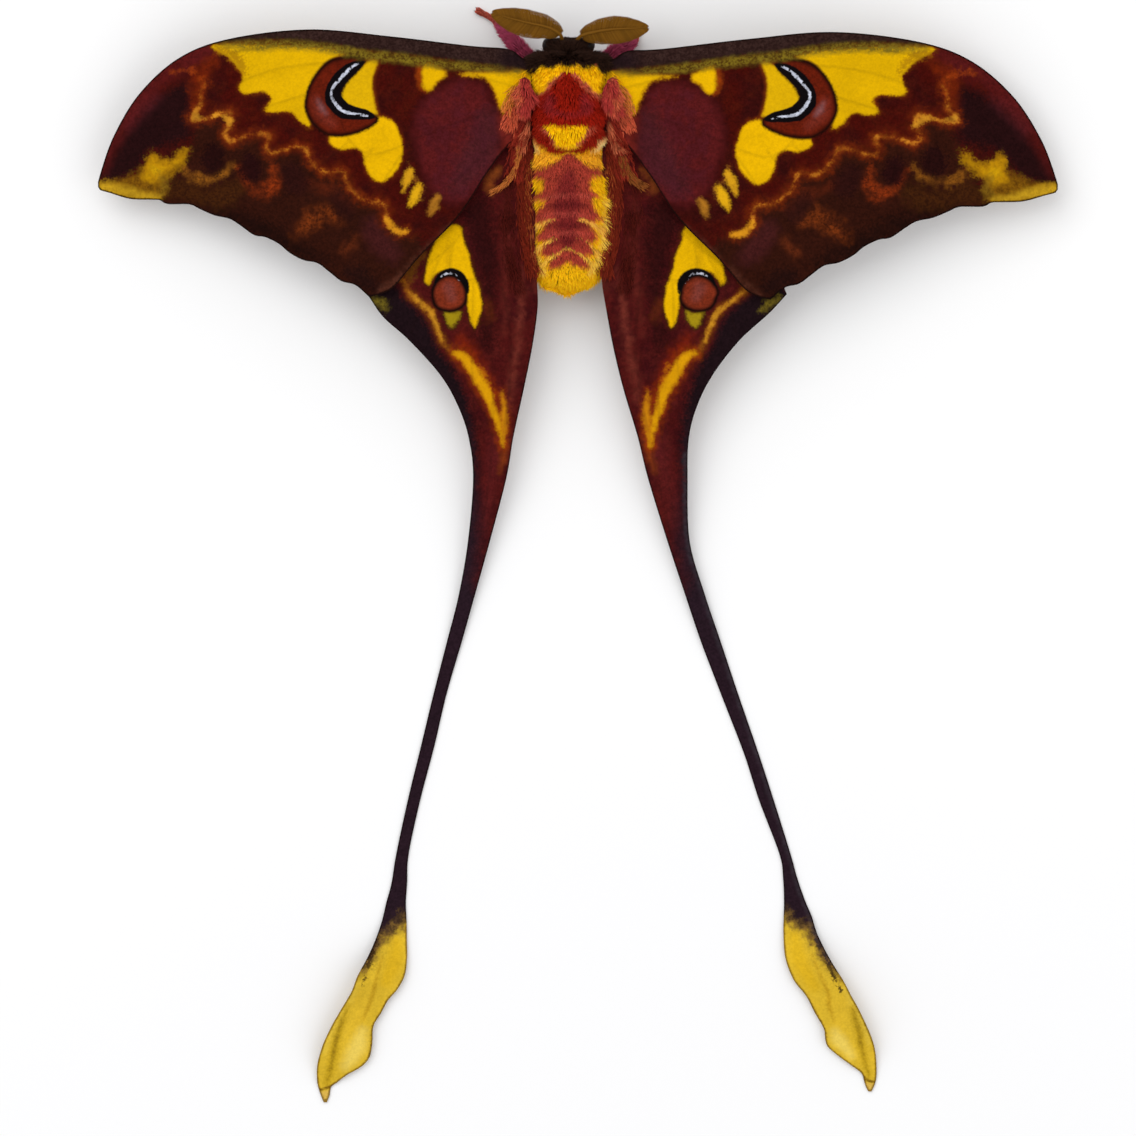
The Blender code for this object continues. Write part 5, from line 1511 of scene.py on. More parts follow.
BODY_SHAPES: dict[str, Shape] = {
    "collar_yellow": Shape(((517, 72), (524, 70), (531, 69), (546, 68), (567, 68), (585, 68), (603, 70),
        (612, 72), (619, 76), (615, 86), (606, 84), (602, 92), (595, 97), (590, 92), (586, 86), (580, 82),
        (574, 76), (567, 73), (560, 76), (554, 83), (549, 88), (545, 94), (539, 95), (534, 90), (528, 84),
        (518, 86))),
    "crimson": Shape(((567, 75), (573, 79), (579, 87), (586, 96), (596, 102), (606, 106), (614, 116),
        (606, 127), (590, 129), (568, 130), (546, 129), (532, 127), (521, 117), (530, 106), (540, 100),
        (549, 94), (554, 87), (561, 79))),
    "dusky": Shape(((547, 102), (553, 95), (557, 104), (556, 112), (566, 115), (579, 112), (578, 103),
        (581, 95), (588, 102), (590, 112), (580, 118), (555, 118), (546, 111))),
    "scutellum": Shape(((546, 127), (556, 126.5), (567, 127.5), (580, 127), (586.5, 128), (582.5, 135.5),
        (577, 143), (568, 146.5), (560, 145), (554, 138))),
    "scutellum_rim": Shape(((520, 116), (534, 126), (544, 138), (555, 149), (568, 150.5), (581, 149),
        (592, 138), (602, 126), (614, 116)), (4, 5, 5.5, 4, 2, 4, 5.5, 5, 4)),
    "plates": Shape(((569, 153), (575, 160), (583, 166), (596, 170.5), (598, 175), (590, 178.5), (588, 184),
        (589, 190), (595, 196.5), (590, 200), (591, 206), (594, 213), (599, 219.5), (591, 222), (588, 227),
        (593, 234), (595, 240), (588, 242.5), (590, 248), (593, 254), (585, 255), (588, 267), (577, 266),
        (569, 261), (560, 266), (550, 268), (553, 257), (545, 255), (542, 253), (546, 246), (548, 242),
        (540, 239.5), (543, 232), (548, 225), (543, 222), (535, 219.5), (541, 212), (546, 205), (548, 200),
        (536, 199.5), (543, 194), (546, 188), (546, 181), (536, 175.5), (537, 171), (550, 168), (560, 163)),
        rounded=False),
    "plate_dark": Shape(((564, 172), (573, 172), (577, 185), (580, 205), (577, 228), (573, 246), (567, 252),
        (561, 245), (558, 228), (554, 207), (558, 186))),
    "seams": Shape(((548, 198), (567, 197), (588, 198), (594, 207), (590, 216), (567, 215.5), (546, 217),
        (541, 226), (546, 235.5), (567, 234), (588, 235)), (1.5, 2.2, 1.5, -6, 1.5, 2.2, 1.5, -6, 1.5, 2.2,
        1.5)),
    "bars": Shape(((548, 207), (567, 206), (586, 207), (593, 216), (588, 226), (567, 225.5), (547, 227),
        (541, 234), (552, 242), (567, 241), (582, 242)), (2, 3.4, 2, -6, 2, 3.4, 2, -6, 2, 3, 2)),
    "chevrons_first": Shape(((537, 202), (545, 200), (554, 198.5), (563, 197), (571, 199), (581, 197.5),
        (590, 196)), (1, 0.8, 0.7, 0.3, -2, 0.5, 1)),
    "chevrons": Shape(((534, 232), (539, 227.5), (546, 223), (556, 220.5), (567, 221), (578, 220),
        (587, 222.5), (595, 227), (601, 232)), (3.2, 2.6, 1.5, 0.5, -3, 0.5, 1.4, 2.4, 3.2)),
    "chevrons_second": Shape(((536, 254), (540, 249), (547, 243), (556, 240), (567, 240), (580, 240),
        (588, 244), (594, 250), (599, 256)), (3.2, 2.6, 1.5, 0.5, -3, 0.1, 0.9, 1.8, 3)),
    "chevrons_third": Shape(((545, 264), (550, 259.5), (558, 255), (568, 249.5), (577, 254.5), (585, 259),
        (591, 264)), (2.8, 1.6, 1.1, 0.8, 1.1, 1.6, 2.8)),
    "waist_cream": Shape(((528, 138), (533, 136), (540, 143), (548, 152), (562, 156), (552, 164),
        (541, 170), (533, 176), (528, 160))),
    "waist_cream_right": Shape(((575, 156), (586, 152), (594, 143), (601, 136), (606, 140), (605, 172),
        (595, 172), (589, 167), (580, 162))),
    "waist_pale": Shape(((532, 142), (537, 146), (541, 153)), (3, 3, 1)),
    "waist_pale_right": Shape(((602, 138), (597, 144), (592, 151)), (3, 3.5, 1)),
    "pale_fringe": Shape(((531, 200), (532, 225), (535, 250), (545, 272)), (2, 3, 3.4, 2)),
    "pale_fringe_right": Shape(((604, 200), (603, 225), (600, 250), (590, 272)), (2, 3, 3.4, 2)),
}

BODY_LAYERS = (
    Layer("abdomen_zone", (244, 192, 18), 0.6, 0.4),
    Layer("waist_cream", (244, 178, 40), 0.4, 0.3),
    Layer("waist_cream_right", (244, 178, 40), 0.4, 0.3),
    Layer("waist_pale", (250, 214, 130), 0.4, 0.2),
    Layer("waist_pale_right", (250, 216, 140), 0.4, 0.2),
    Layer("pale_fringe", (246, 208, 96), 0.5, 0.4, strength=0.7),
    Layer("pale_fringe_right", (246, 208, 96), 0.5, 0.4, strength=0.7),
    Layer("plates", (204, 108, 44), 0.4, 0.25, 0.25),
    Layer("plates", (178, 68, 52), 0.35, 0.25),
    Layer("plate_dark", (136, 42, 41), 0.8, 0.4, strength=0.9),
    Layer("seams", (190, 80, 68), 0.45, 0.3, strength=0.5),
    Layer("bars", (112, 32, 34), 0.45, 0.3, strength=0.65),
    Layer("chevrons_first", (206, 104, 84), 0.2, 0.2, strength=0.5),
    Layer("chevrons", (246, 190, 76), 0.18, 0.25),
    Layer("chevrons_second", (246, 192, 76), 0.18, 0.25),
    Layer("chevrons_third", (246, 196, 70), 0.18, 0.25),
    Layer("crimson", (158, 30, 15), 0.45, 0.35),
    Layer("dusky", (146, 40, 42), 0.5, 0.3, strength=0.8),
    Layer("scutellum_rim", (152, 32, 16), 0.3, 0.25),
    Layer("collar_yellow", (252, 200, 12), 0.3, 0.25),
    Layer("scutellum", (252, 202, 10), 0.16, 0.15),
    Layer("under", (148, 44, 34), 0.6, 0.4),
    Layer("belly", (232, 172, 40), 0.6, 0.4),
    Layer("belly_bars", (150, 50, 40), 0.4, 0.4),
    Layer("head_zone", (44, 27, 20), 0.2, 0.2),
)


@dataclass(frozen=True)
class FurFinish(Finish):
    """Hair whose colour follows the markings at its root, paler toward its tip."""

    ground: Rgb
    layers: tuple[Layer, ...] = ()
    root_tone: float = 0.58
    tip_tone: float = 1.32
    grain_size: float = 0.5
    roughness: float = 0.6
    specular: float = 0.03

    def surface(self, kit: NodeKit, place: Value) -> Inputs:
        """The markings' colours with each hair's own tone, shared by the skin and its coat."""
        colour = paint(self.ground)
        if self.layers:
            colour = lay_layers(kit, colour, self.layers, kit.grain(place, self.grain_size))
        along = kit.ramp(kit.attribute("along"), 0.0, 0.8, self.root_tone, self.tip_tone)
        own = kit.maths("ADD", 0.78, kit.times(kit.attribute("tone"), 0.44))
        return {"Base Color": kit.shade(colour, kit.times(along, own)),
                "Roughness": self.roughness, "Specular IOR Level": self.specular}


@dataclass(frozen=True)
class PlainFinish(Finish):
    """A hard or soft surface of one colour with a mottling and a fine height."""

    colour: Rgb
    second: Rgb
    roughness: float = 0.5
    grain: float = 0.2
    relief: float = 0.3
    coat: float = 0.0
    specular: float = 0.2

    def surface(self, kit: NodeKit, place: Value) -> Inputs:
        """Two colours mottled together, over fine cells."""
        mottle = kit.ramp(kit.noise(place, self.grain * 4), 0.35, 0.65)
        return {"Base Color": kit.blend(paint(self.colour), paint(self.second), mottle),
                "Normal": kit.bump(kit.cells(place, self.grain), self.relief, 0.05),
                "Roughness": self.roughness, "Coat Weight": self.coat,
                "Specular IOR Level": self.specular}


EYE_FINISH = PlainFinish("eye_black", (22, 14, 12), (36, 22, 16), 0.30, 0.09, 0.35, 0.04, 0.12)
LEG_FINISH = FurFinish("leg_magenta", (158, 62, 88), (
    Layer("foot", (184, 84, 66), 0.9, 0.3),))
FEELER_FINISH = FurFinish("feeler_brown", (126, 84, 24), root_tone=0.85, tip_tone=1.05)
CLAW_FINISH = PlainFinish("claw", (40, 20, 16), (60, 30, 22), 0.35, 0.3, 0.1)
BODY_FINISH = FurFinish("body_fur", (196, 92, 66), BODY_LAYERS)
SHOULDER_FINISH = FurFinish("tegula_fur", (172, 58, 52), (
    Layer("pale_side", (206, 104, 68), 0.7, 0.5),
    Layer("pale_end", (208, 98, 70), 0.9, 0.5)))


# Body

@dataclass
class Body:
    """Head, collar, thorax and abdomen under one skin, with the coat that grows from it."""

    sides: int = 84
    step: float = 0.3
    squareness: float = 2.25
    waist: float = 63.0
    tip: float = 41.2
    abdomen_half_width: float = 5.2
    abdomen_half_height: float = 4.0
    segments: int = 7
    segment_relief: float = 0.16
    eye_reach: float = 1.6
    colour_reach: float = 0.5
    head_start: tuple[float, float] = (77.6, 78.4)
    collar_start: tuple[float, float] = (74.9, 75.3)
    waist_end: tuple[float, float] = (63.2, 63.8)
    abdomen_end: tuple[float, float] = (62.0, 64.5)
    under_drop: float = 1.8
    belly_start: float = 62.6
    bar_half_width: float = 2.4
    abdomen_start: float = 64.0
    head_edge: float = 75.8

    def stations(self) -> Points:
        """The levels from the face back to the end of the abdomen.

        Returns:
            For each level, its Y, half width, half height, height of its middle and sideways shift.
        """
        front = (
            (80.35, 0.9, 0.9, 8.5), (80.15, 1.9, 1.8, 8.6), (79.7, 2.5, 2.4, 8.8),
            (79.0, 2.75, 2.75, 9.0), (78.2, 2.8, 2.75, 9.2), (77.8, 3.4, 3.1, 9.4),
            (77.4, 5.0, 4.1, 9.7), (76.8, 6.0, 4.75, 9.8), (76.0, 6.3, 4.95, 9.85),
            (75.3, 5.8, 4.9, 9.8), (74.4, 5.3, 5.1, 9.8), (72.8, 5.1, 5.6, 9.75),
            (70.0, 5.1, 5.9, 9.7), (67.2, 5.1, 5.8, 9.6), (65.2, 5.0, 5.4, 9.35),
            (63.6, 4.75, 4.6, 8.95))
        share = np.linspace(0.0, 1.0, 17)
        swell = np.sin(math.pi * share)
        taper = np.maximum(0.0, (share - 0.72) / 0.28)
        girth = (0.93 + 0.13 * swell) * np.sqrt(np.maximum(0.012, 1 - taper ** 2.3))
        first = self.waist - 0.6
        back = np.column_stack((first - (first - self.tip) * share, self.abdomen_half_width * girth,
                                self.abdomen_half_height * girth, 8.6 - 2.0 * share,
                                0.7 * swell - 0.3))
        return np.vstack((np.pad(front, ((0, 0), (0, 1))), back))

    def build_skin(self) -> Skin:
        """Loft the skin and store the distances to its markings."""
        rows = smooth_path(self.stations(), self.step)
        turns = np.arange(self.sides) / self.sides * math.tau - math.pi / 2
        power = 2 / self.squareness
        across = np.sign(np.cos(turns)) * np.abs(np.cos(turns)) ** power
        upward = np.sign(np.sin(turns)) * np.abs(np.sin(turns)) ** power
        rings = []
        for level, half_width, half_height, middle, shift in rows:
            share = (self.waist - level) / (self.waist - self.tip) * self.segments
            swell = 0.0
            if 0 < share < self.segments:
                swell = self.segment_relief * (math.sin(math.pi * (share % 1.0)) - 0.6)
            rings.append(np.column_stack((
                shift + (half_width + swell) * across, np.full(self.sides, level),
                middle + (half_height + swell) * upward)))
        skin = loft("body_skin", np.array(rings))
        plan = skin.points[:, :2] + self.colour_reach * self.comb(skin)[:, :2]
        values = {key: shape.distances(plan, PHOTO.place) for key, shape in BODY_SHAPES.items()}
        middle = np.interp(plan[:, 1], rows[::-1, 0], rows[::-1, 3])
        values["under"] = skin.points[:, 2] - middle + self.under_drop
        values["belly"] = np.maximum(values["under"], plan[:, 1] - self.belly_start)
        row = (self.waist - plan[:, 1]) / (self.waist - self.tip) * self.segments % 1.0
        values["belly_bars"] = np.maximum.reduce((
            values["belly"], 3.1 * np.abs(row - 0.5) - 0.75,
            np.abs(plan[:, 0]) - self.bar_half_width))
        values["abdomen_zone"] = plan[:, 1] - self.abdomen_start
        wave = 0.25 * np.cos(plan[:, 0] * 2.5 + math.pi) + 0.12 * np.cos(plan[:, 0] * 4.7)
        edge = self.head_edge + wave - 0.015 * plan[:, 0] ** 2
        values["head_zone"] = np.maximum(edge - plan[:, 1], -3.0)
        store(skin.item.data, values)
        return skin

    def comb(self, skin: Skin) -> Points:
        """Lay the hair back along the body, outward on the sides and forward on the face.

        Args:
            skin: The skin that the hair grows on.

        Returns:
            The reach of the hair at each point, in millimetres.
        """
        x, y = skin.points[:, 0], skin.points[:, 1]
        on_head = smoothstep(y, *self.head_start)
        on_abdomen = 1 - smoothstep(y, *self.abdomen_end)
        on_collar = smoothstep(y, *self.collar_start)
        before_waist = smoothstep(y, *self.waist_end)
        side = np.clip(x / 5.0, -1, 1)
        clump = waves(skin.points, 2.2, 11)
        swirl = waves(skin.points, 3.2, 23)
        fringe = np.abs(side) ** 4 * on_abdomen * np.clip(1 + skin.normals[:, 2] * 2, 0, 1)
        brow = np.clip(x / 2.2, -1, 1) * smoothstep(y, 77.0, 77.8)
        ways = np.column_stack((0.55 * side * (1 - 0.6 * on_abdomen) + 0.4 * clump
                                + 0.75 * np.sign(side) * fringe + 1.1 * brow,
                                2.0 * on_head - 1.0, 0.15 * swirl))
        low = np.clip(-skin.normals[:, 2], 0, 1)
        lift = 30 + 12 * clump * (1 - on_abdomen) - 12 * on_abdomen + 14 * np.abs(side) ** 3
        length = 1.5 + 0.3 * swirl
        length = length + (0.8 + 0.4 * np.abs(side) ** 3 + 1.4 * fringe - length) * on_abdomen
        length = length + (1.5 - length) * smoothstep(y, 74.8, 75.6)
        at_head = (1.0 + 0.9 * np.abs(brow)
                   - (0.6 + 0.5 * np.abs(brow)) * smoothstep(y, 79.0, 79.9))
        length = length + (at_head - length) * on_head
        length = length * (1 - 0.25 * low) + 0.9 * (1 - smoothstep(y, 41.5, 45.0))
        gaps = [np.linalg.norm(skin.points - np.array(EYE_PLACE) * (eye.value, 1, 1), axis=1)
                for eye in Side]
        clear = smoothstep(np.minimum(*gaps), self.eye_reach - 0.3, self.eye_reach)
        lift = lift + 6 * on_head * (1 - smoothstep(y, 79.2, 80.4))
        skin.comb(ways, lift, length,
                  cover_head=on_collar * clear, cover_thorax=before_waist * (1 - on_collar),
                  cover_abdomen=1 - before_waist)
        return skin.tangent(ways) * (length * np.cos(np.radians(lift)))[:, None]

    def build(self, tuft: bpy.types.Object) -> None:
        """Make the skin and grow its coat."""
        skin = self.build_skin()
        material = BODY_FINISH.material()
        dress(skin.item, material, ["head", "collar", "thorax", "abdomen"])
        for coat in (Coat("coat_head", "cover_head", "collar_fur", 50, 0.15, 11),
                     Coat("coat_thorax", "cover_thorax", "thorax_fur", 42, 0.18, 31),
                     Coat("coat_abdomen", "cover_abdomen", "abdomen_fur", 44, 0.15, 51)):
            coat.grow(skin, tuft, material)


@dataclass
class Head:
    """Eyes and palps."""

    eye_radius: float = 1.35
    eye_sides: int = 40
    eye_rings: int = 24

    def build_eye(self, side: Side) -> None:
        """One bulging compound eye."""
        rings = ball_rings(EYE_PLACE, (self.eye_radius,) * 3, self.eye_sides, self.eye_rings, pole=0)
        skin = loft("eyeball_" + side.label, rings * (side.value, 1, 1))
        dress(skin.item, EYE_FINISH.material(), ["eye_" + side.label])

    def build_palp(self, side: Side, tuft: bpy.types.Object) -> None:
        """One short hairy palp under the face."""
        path = smooth_path(((0.8, 79.0, 7.2), (1.0, 79.9, 6.3), (1.0, 80.35, 6.8)), 0.12)
        radii = np.interp(np.linspace(0, 1, len(path)), (0, 0.5, 0.9, 1), (0.45, 0.42, 0.3, 0.12))
        skin = loft("palp_" + side.label, tube(path * (side.value, 1, 1), radii, 16))
        full = np.ones(len(skin.points))
        skin.comb(np.tile((0.1 * side.value, 1.0, -0.2), (len(full), 1)), 24 * full, 0.55 * full,
                  cover_all=full)
        zones = {layer.shape: 9 * full for layer in BODY_LAYERS}
        store(skin.item.data, {**zones, "head_zone": -full})
        dress(skin.item, BODY_FINISH.material())
        Coat("coat_palp_" + side.label, "cover_all", "collar_fur", 60, 0.10, 71).grow(
            skin, tuft, BODY_FINISH.material())

    def build(self, tuft: bpy.types.Object) -> None:
        """Make both eyes and both palps."""
        for side in Side:
            self.build_eye(side)
            self.build_palp(side, tuft)


@dataclass
class Tegula:
    """The shoulder flap over a forewing's root, thick with long hair."""

    centre: tuple[float, float, float] = (6.75, 71.5, 13.85)
    half: tuple[float, float, float] = (1.1, 2.6, 0.75)
    sides: int = 28
    rings: int = 20
    pale_level: float = 69.3

    def build(self, side: Side, tuft: bpy.types.Object) -> None:
        """Make the flap's skin and its hair."""
        rings = ball_rings(self.centre, self.half, self.sides, self.rings, pole=1)
        skin = loft("shoulder_" + side.label, rings * (side.value, 1, 1))
        clump = waves(skin.points, 1.8, 41)
        upper = smoothstep(skin.normals[:, 2], -0.5, 0.1)
        outward = side.value * skin.points[:, 0] - self.centre[0]
        ways = np.column_stack((side.value * (0.3 + 0.25 * outward) + 0.5 * clump,
                                -np.ones(len(clump)), 0.2 * clump))
        front = smoothstep(skin.points[:, 1] - self.centre[1], 0.2 * self.half[1],
                           0.9 * self.half[1])
        skin.comb(ways, (24 + 14 * clump) * (1 - 0.7 * front),
                  (1.9 + 0.5 * clump) * (1 - 0.6 * front), cover_all=upper * (1 - 0.5 * front))
        store(skin.item.data, {"pale_end": skin.points[:, 1] - self.pale_level + 1.2 * clump,
                               "pale_side": 0.5 - outward + 0.8 * clump})
        dress(skin.item, SHOULDER_FINISH.material(), ["tegula_" + side.label])
        Coat("coat_shoulder_" + side.label, "cover_all", "tegula_fur", 44, 0.19, 81).grow(
            skin, tuft, SHOULDER_FINISH.material())


@dataclass(frozen=True)
class HairPatch:
    """Long hair on the root of the left wings, along a line in the photograph's pixels."""

    name: str
    marks: Marks
    half_width: float
    colour: Rgb
    length: float
    density: float
    lift: float = 16.0
    width: float = 0.16
    sides: tuple[Side, ...] = (Side.LEFT, Side.RIGHT)
    rise: float = 0.0
    slot: str = "thorax_fur"


HAIR_PATCHES = (
    HairPatch("flank_hair", ((526, 140), (524, 170), (524, 205), (526, 240), (533, 272)), 7,
              (124, 40, 24), 1.9, 44, 9, 0.10, slot="hindwing_scales"),
    HairPatch("flank_pale_hair", ((529, 165), (528, 200), (530, 240), (536, 266)), 4,
              (180, 92, 44), 1.5, 16, 12, 0.09, slot="hindwing_scales"),
    HairPatch("inner_hair", ((510, 165), (507, 210), (510, 255), (518, 290)), 8,
              (82, 24, 18), 1.6, 26, 6, 0.08, slot="hindwing_scales"),
    HairPatch("shoulder_hair", ((534, 90), (524, 100), (515, 113), (509, 128)), 8,
              (204, 92, 62), 1.6, 50, 14, 0.12),
    HairPatch("shoulder_pale_hair", ((520, 88), (512, 98), (507, 110)), 5.5,
              (224, 132, 62), 1.5, 34, 14, 0.10, rise=0.35),
    HairPatch("waist_hair", ((536, 108), (529, 122), (522, 138), (517, 156), (515, 174)), 9,
              (148, 46, 32), 1.9, 46, 12, 0.11),
    HairPatch("waist_pale_hair", ((535, 120), (529, 131), (524, 142), (521, 150)), 4.5,
              (208, 110, 74), 1.7, 36, 12, 0.10, rise=0.3),
    HairPatch("collar_side_hair", ((536, 70), (530, 76), (523, 84)), 6,
              (240, 184, 14), 1.2, 56, 16, 0.12),
    HairPatch("curved_hair", ((518, 142), (519, 154), (517, 166), (511, 178), (502, 187),
                              (493, 192)), 2.6,
              (198, 116, 54), 1.3, 66, 9, 0.10, sides=(Side.LEFT,), rise=0.4),
    HairPatch("curved_hair", ((517, 156), (515, 168), (508, 180), (499, 187)), 4.0,
              (150, 84, 38), 1.4, 50, 8, 0.10, sides=(Side.RIGHT,), rise=0.3),
)


@dataclass
class WingHair:
    """The long hair that hides where the wings join the body."""

    steps_across: int = 5

    def ground(self, side: Side, plan: Points) -> Points:
        """Places on top of the wings: on the forewing where it lies, else on the hindwing."""
        fore, hind = Forewing(side), Hindwing(side)
        over = smoothstep(-distance_to_outline(plan, fore.outline()), -0.3, 0.5)[:, None]
        lower = hind.surface(hind.warp(plan, Side.LEFT, side))
        return lower + (fore.surface(plan) - lower) * over + (0.0, 0.0, 0.08)

    def grow(self, patch: HairPatch, side: Side, tuft: bpy.types.Object) -> None:
        """Grow one patch on one side.

        Args:
            patch: The hair's place, colour and size.
            side: The side of the body.
            tuft: The pattern of one hair tuft.
        """
        line = smooth_path(PHOTO.on_left_wing(patch.marks), 0.3)
        ahead = headings(line)
        shares = np.linspace(-1, 1, self.steps_across)
        wide = patch.half_width * PHOTO.millimetres_per_pixel
        plan = (line[:, None] + shares[None, :, None] * wide * beside(line)[:, None])
        plan = plan.reshape(-1, 2)
        points = (self.ground(side, plan) + (0.0, 0.0, patch.rise)) * (side.value, 1, 1)
        ways = np.repeat(np.column_stack((side.value * ahead[:, 0], ahead[:, 1],
                                          0 * ahead[:, 0])), self.steps_across, axis=0)
        faces = ring_faces(len(line), self.steps_across, closed=False)
        name = f"{patch.name}_{side.label}"
        item = make_mesh(name + "_root", points, faces)
        corners = ring_squares(len(line), self.steps_across, closed=False)
        unwrap(item.data, 0.02 + 0.95 * corners / (self.steps_across - 1, len(line) - 1))
        skin = Skin(item, points, np.tile((0.0, 0.0, 1.0), (len(points), 1)))
        clump = waves(points, 1.7, 73)
        ways[:, 0] += 0.35 * clump
        edge = 1 - 0.75 * np.abs(np.tile(shares, len(line))) ** 1.5
        skin.comb(ways, patch.lift + 6 * clump, patch.length * (1 + 0.15 * clump),
                  cover_all=edge * (0.75 + 0.25 * clump))
        finish = FurFinish(patch.name + "_" + side.label, patch.colour, root_tone=0.62)
        Coat(name, "cover_all", patch.slot, patch.density, patch.width, 101).grow(
            skin, tuft, finish.material())
        bpy.data.objects.remove(item)


# Limbs

@dataclass(frozen=True)
class LegForm:
    """One leg's joints on the right side, from its root in the thorax to its foot."""

    name: str
    path: tuple[tuple[float, float, float], ...]
    left_path: Optional[tuple[tuple[float, float, float], ...]] = None


LEG_RADII = (0.80, 0.80, 0.95, 0.84, 0.60, 0.42, 0.48)
LEGS = (
    LegForm("fore",
            ((2.2, 73.0, 6.4), (4.5, 75.2, 4.7), (6.2, 77.6, 5.0), (8.2, 79.2, 3.9),
             (10.0, 80.2, 1.7), (10.6, 81.0, 0.6), (10.6, 82.6, 0.42)),
            ((2.2, 73.0, 6.4), (4.5, 75.2, 4.7), (6.4, 77.6, 5.0), (8.9, 80.5, 4.0),
             (10.7, 82.7, 1.7), (12.0, 84.0, 0.6), (14.3, 85.3, 0.42))),
    LegForm("mid", ((2.4, 70.0, 6.2), (5.3, 70.0, 4.2), (8.0, 69.8, 4.4), (10.6, 69.3, 4.6),
                    (13.6, 68.4, 1.8), (15.0, 67.9, 0.6), (18.6, 67.0, 0.42))),
    LegForm("hind", ((2.2, 66.4, 6.4), (4.9, 64.9, 4.4), (7.2, 62.6, 4.5), (9.0, 60.0, 4.7),
                     (10.8, 56.5, 1.9), (11.5, 54.9, 0.6), (12.9, 51.4, 0.42))),
)


@dataclass
class Leg:
    """One leg under a single skin, with short hair and a pair of claws."""

    form: LegForm
    side: Side
    sides: int = 18
    foot_height: float = 1.5
    joint_depth: float = 0.12
    joint_spacing: int = 9
    joint_width: float = 1.6

    def build(self, tuft: bpy.types.Object) -> None:
        """Make the leg, its hair and its claws."""
        joints = self.form.path
        if self.side is Side.LEFT and self.form.left_path:
            joints = self.form.left_path
        table = np.column_stack((joints, LEG_RADII))
        line = smooth_path(table, 0.22)
        path, radii = line[:, :3] * (self.side.value, 1, 1), line[:, 3].copy()
        from_joint = np.arange(len(radii)) % self.joint_spacing / self.joint_width
        radii *= 1 - self.joint_depth * np.exp(-from_joint ** 2) * (line[:, 2] < self.foot_height)
        path[:, 2] = np.maximum(path[:, 2], radii + 0.02)
        label = f"{self.form.name}leg_{self.side.label}"
        skin = loft("skin_" + label, tube(path, radii, self.sides))
        ahead = np.gradient(path, axis=0)
        nearest = np.argmin(np.linalg.norm(skin.points[:, None] - path[None], axis=2), axis=1)
        high = smoothstep(line[nearest, 2], 0.8, 3.2)
        clump = waves(skin.points, 1.6, 61)
        skin.comb(ahead[nearest], 14 + 12 * high + 6 * clump,
                  0.34 + (0.85 + 0.25 * clump) * high,
                  cover_all=smoothstep(skin.points[:, 2], 0.22, 0.5))
        store(skin.item.data, {"foot": line[nearest, 2] - 1.3})
        nodes = [f"{self.form.name}leg_{part}_{self.side.label}"
                 for part in ("femur", "tibia", "tarsus")]
        dress(skin.item, LEG_FINISH.material(), nodes)
        Coat("coat_" + label, "cover_all", "leg_magenta", 40, 0.12, 91).grow(
            skin, tuft, LEG_FINISH.material())
        self.build_claws(path, label)

    def build_claws(self, path: Points, label: str) -> None:
        """Make the two small hooked claws at the foot."""
        ahead = path[-1] - path[-4]
        ahead /= np.linalg.norm(ahead)
        across = np.cross(ahead, (0, 0, 1))
        parts = []
        for sign in (-1, 1):
            start = path[-1] - 0.15 * ahead + sign * 0.14 * across
            hook = np.array([start, start + 0.3 * ahead + sign * 0.12 * across + (0, 0, 0.1),
                             start + 0.55 * ahead + sign * 0.16 * across - (0, 0, 0.08),
                             start + 0.6 * ahead + sign * 0.15 * across - (0, 0, 0.28)])
            line = smooth_path(hook, 0.06)
            line[:, 2] = np.maximum(line[:, 2], 0.06)
            rings = tube(line, np.linspace(0.10, 0.03, len(line)), 10)
            parts.append(loft(f"claw_{label}_{'inner' if sign < 0 else 'outer'}", rings))
        for part in parts:
            dress(part.item, CLAW_FINISH.material())


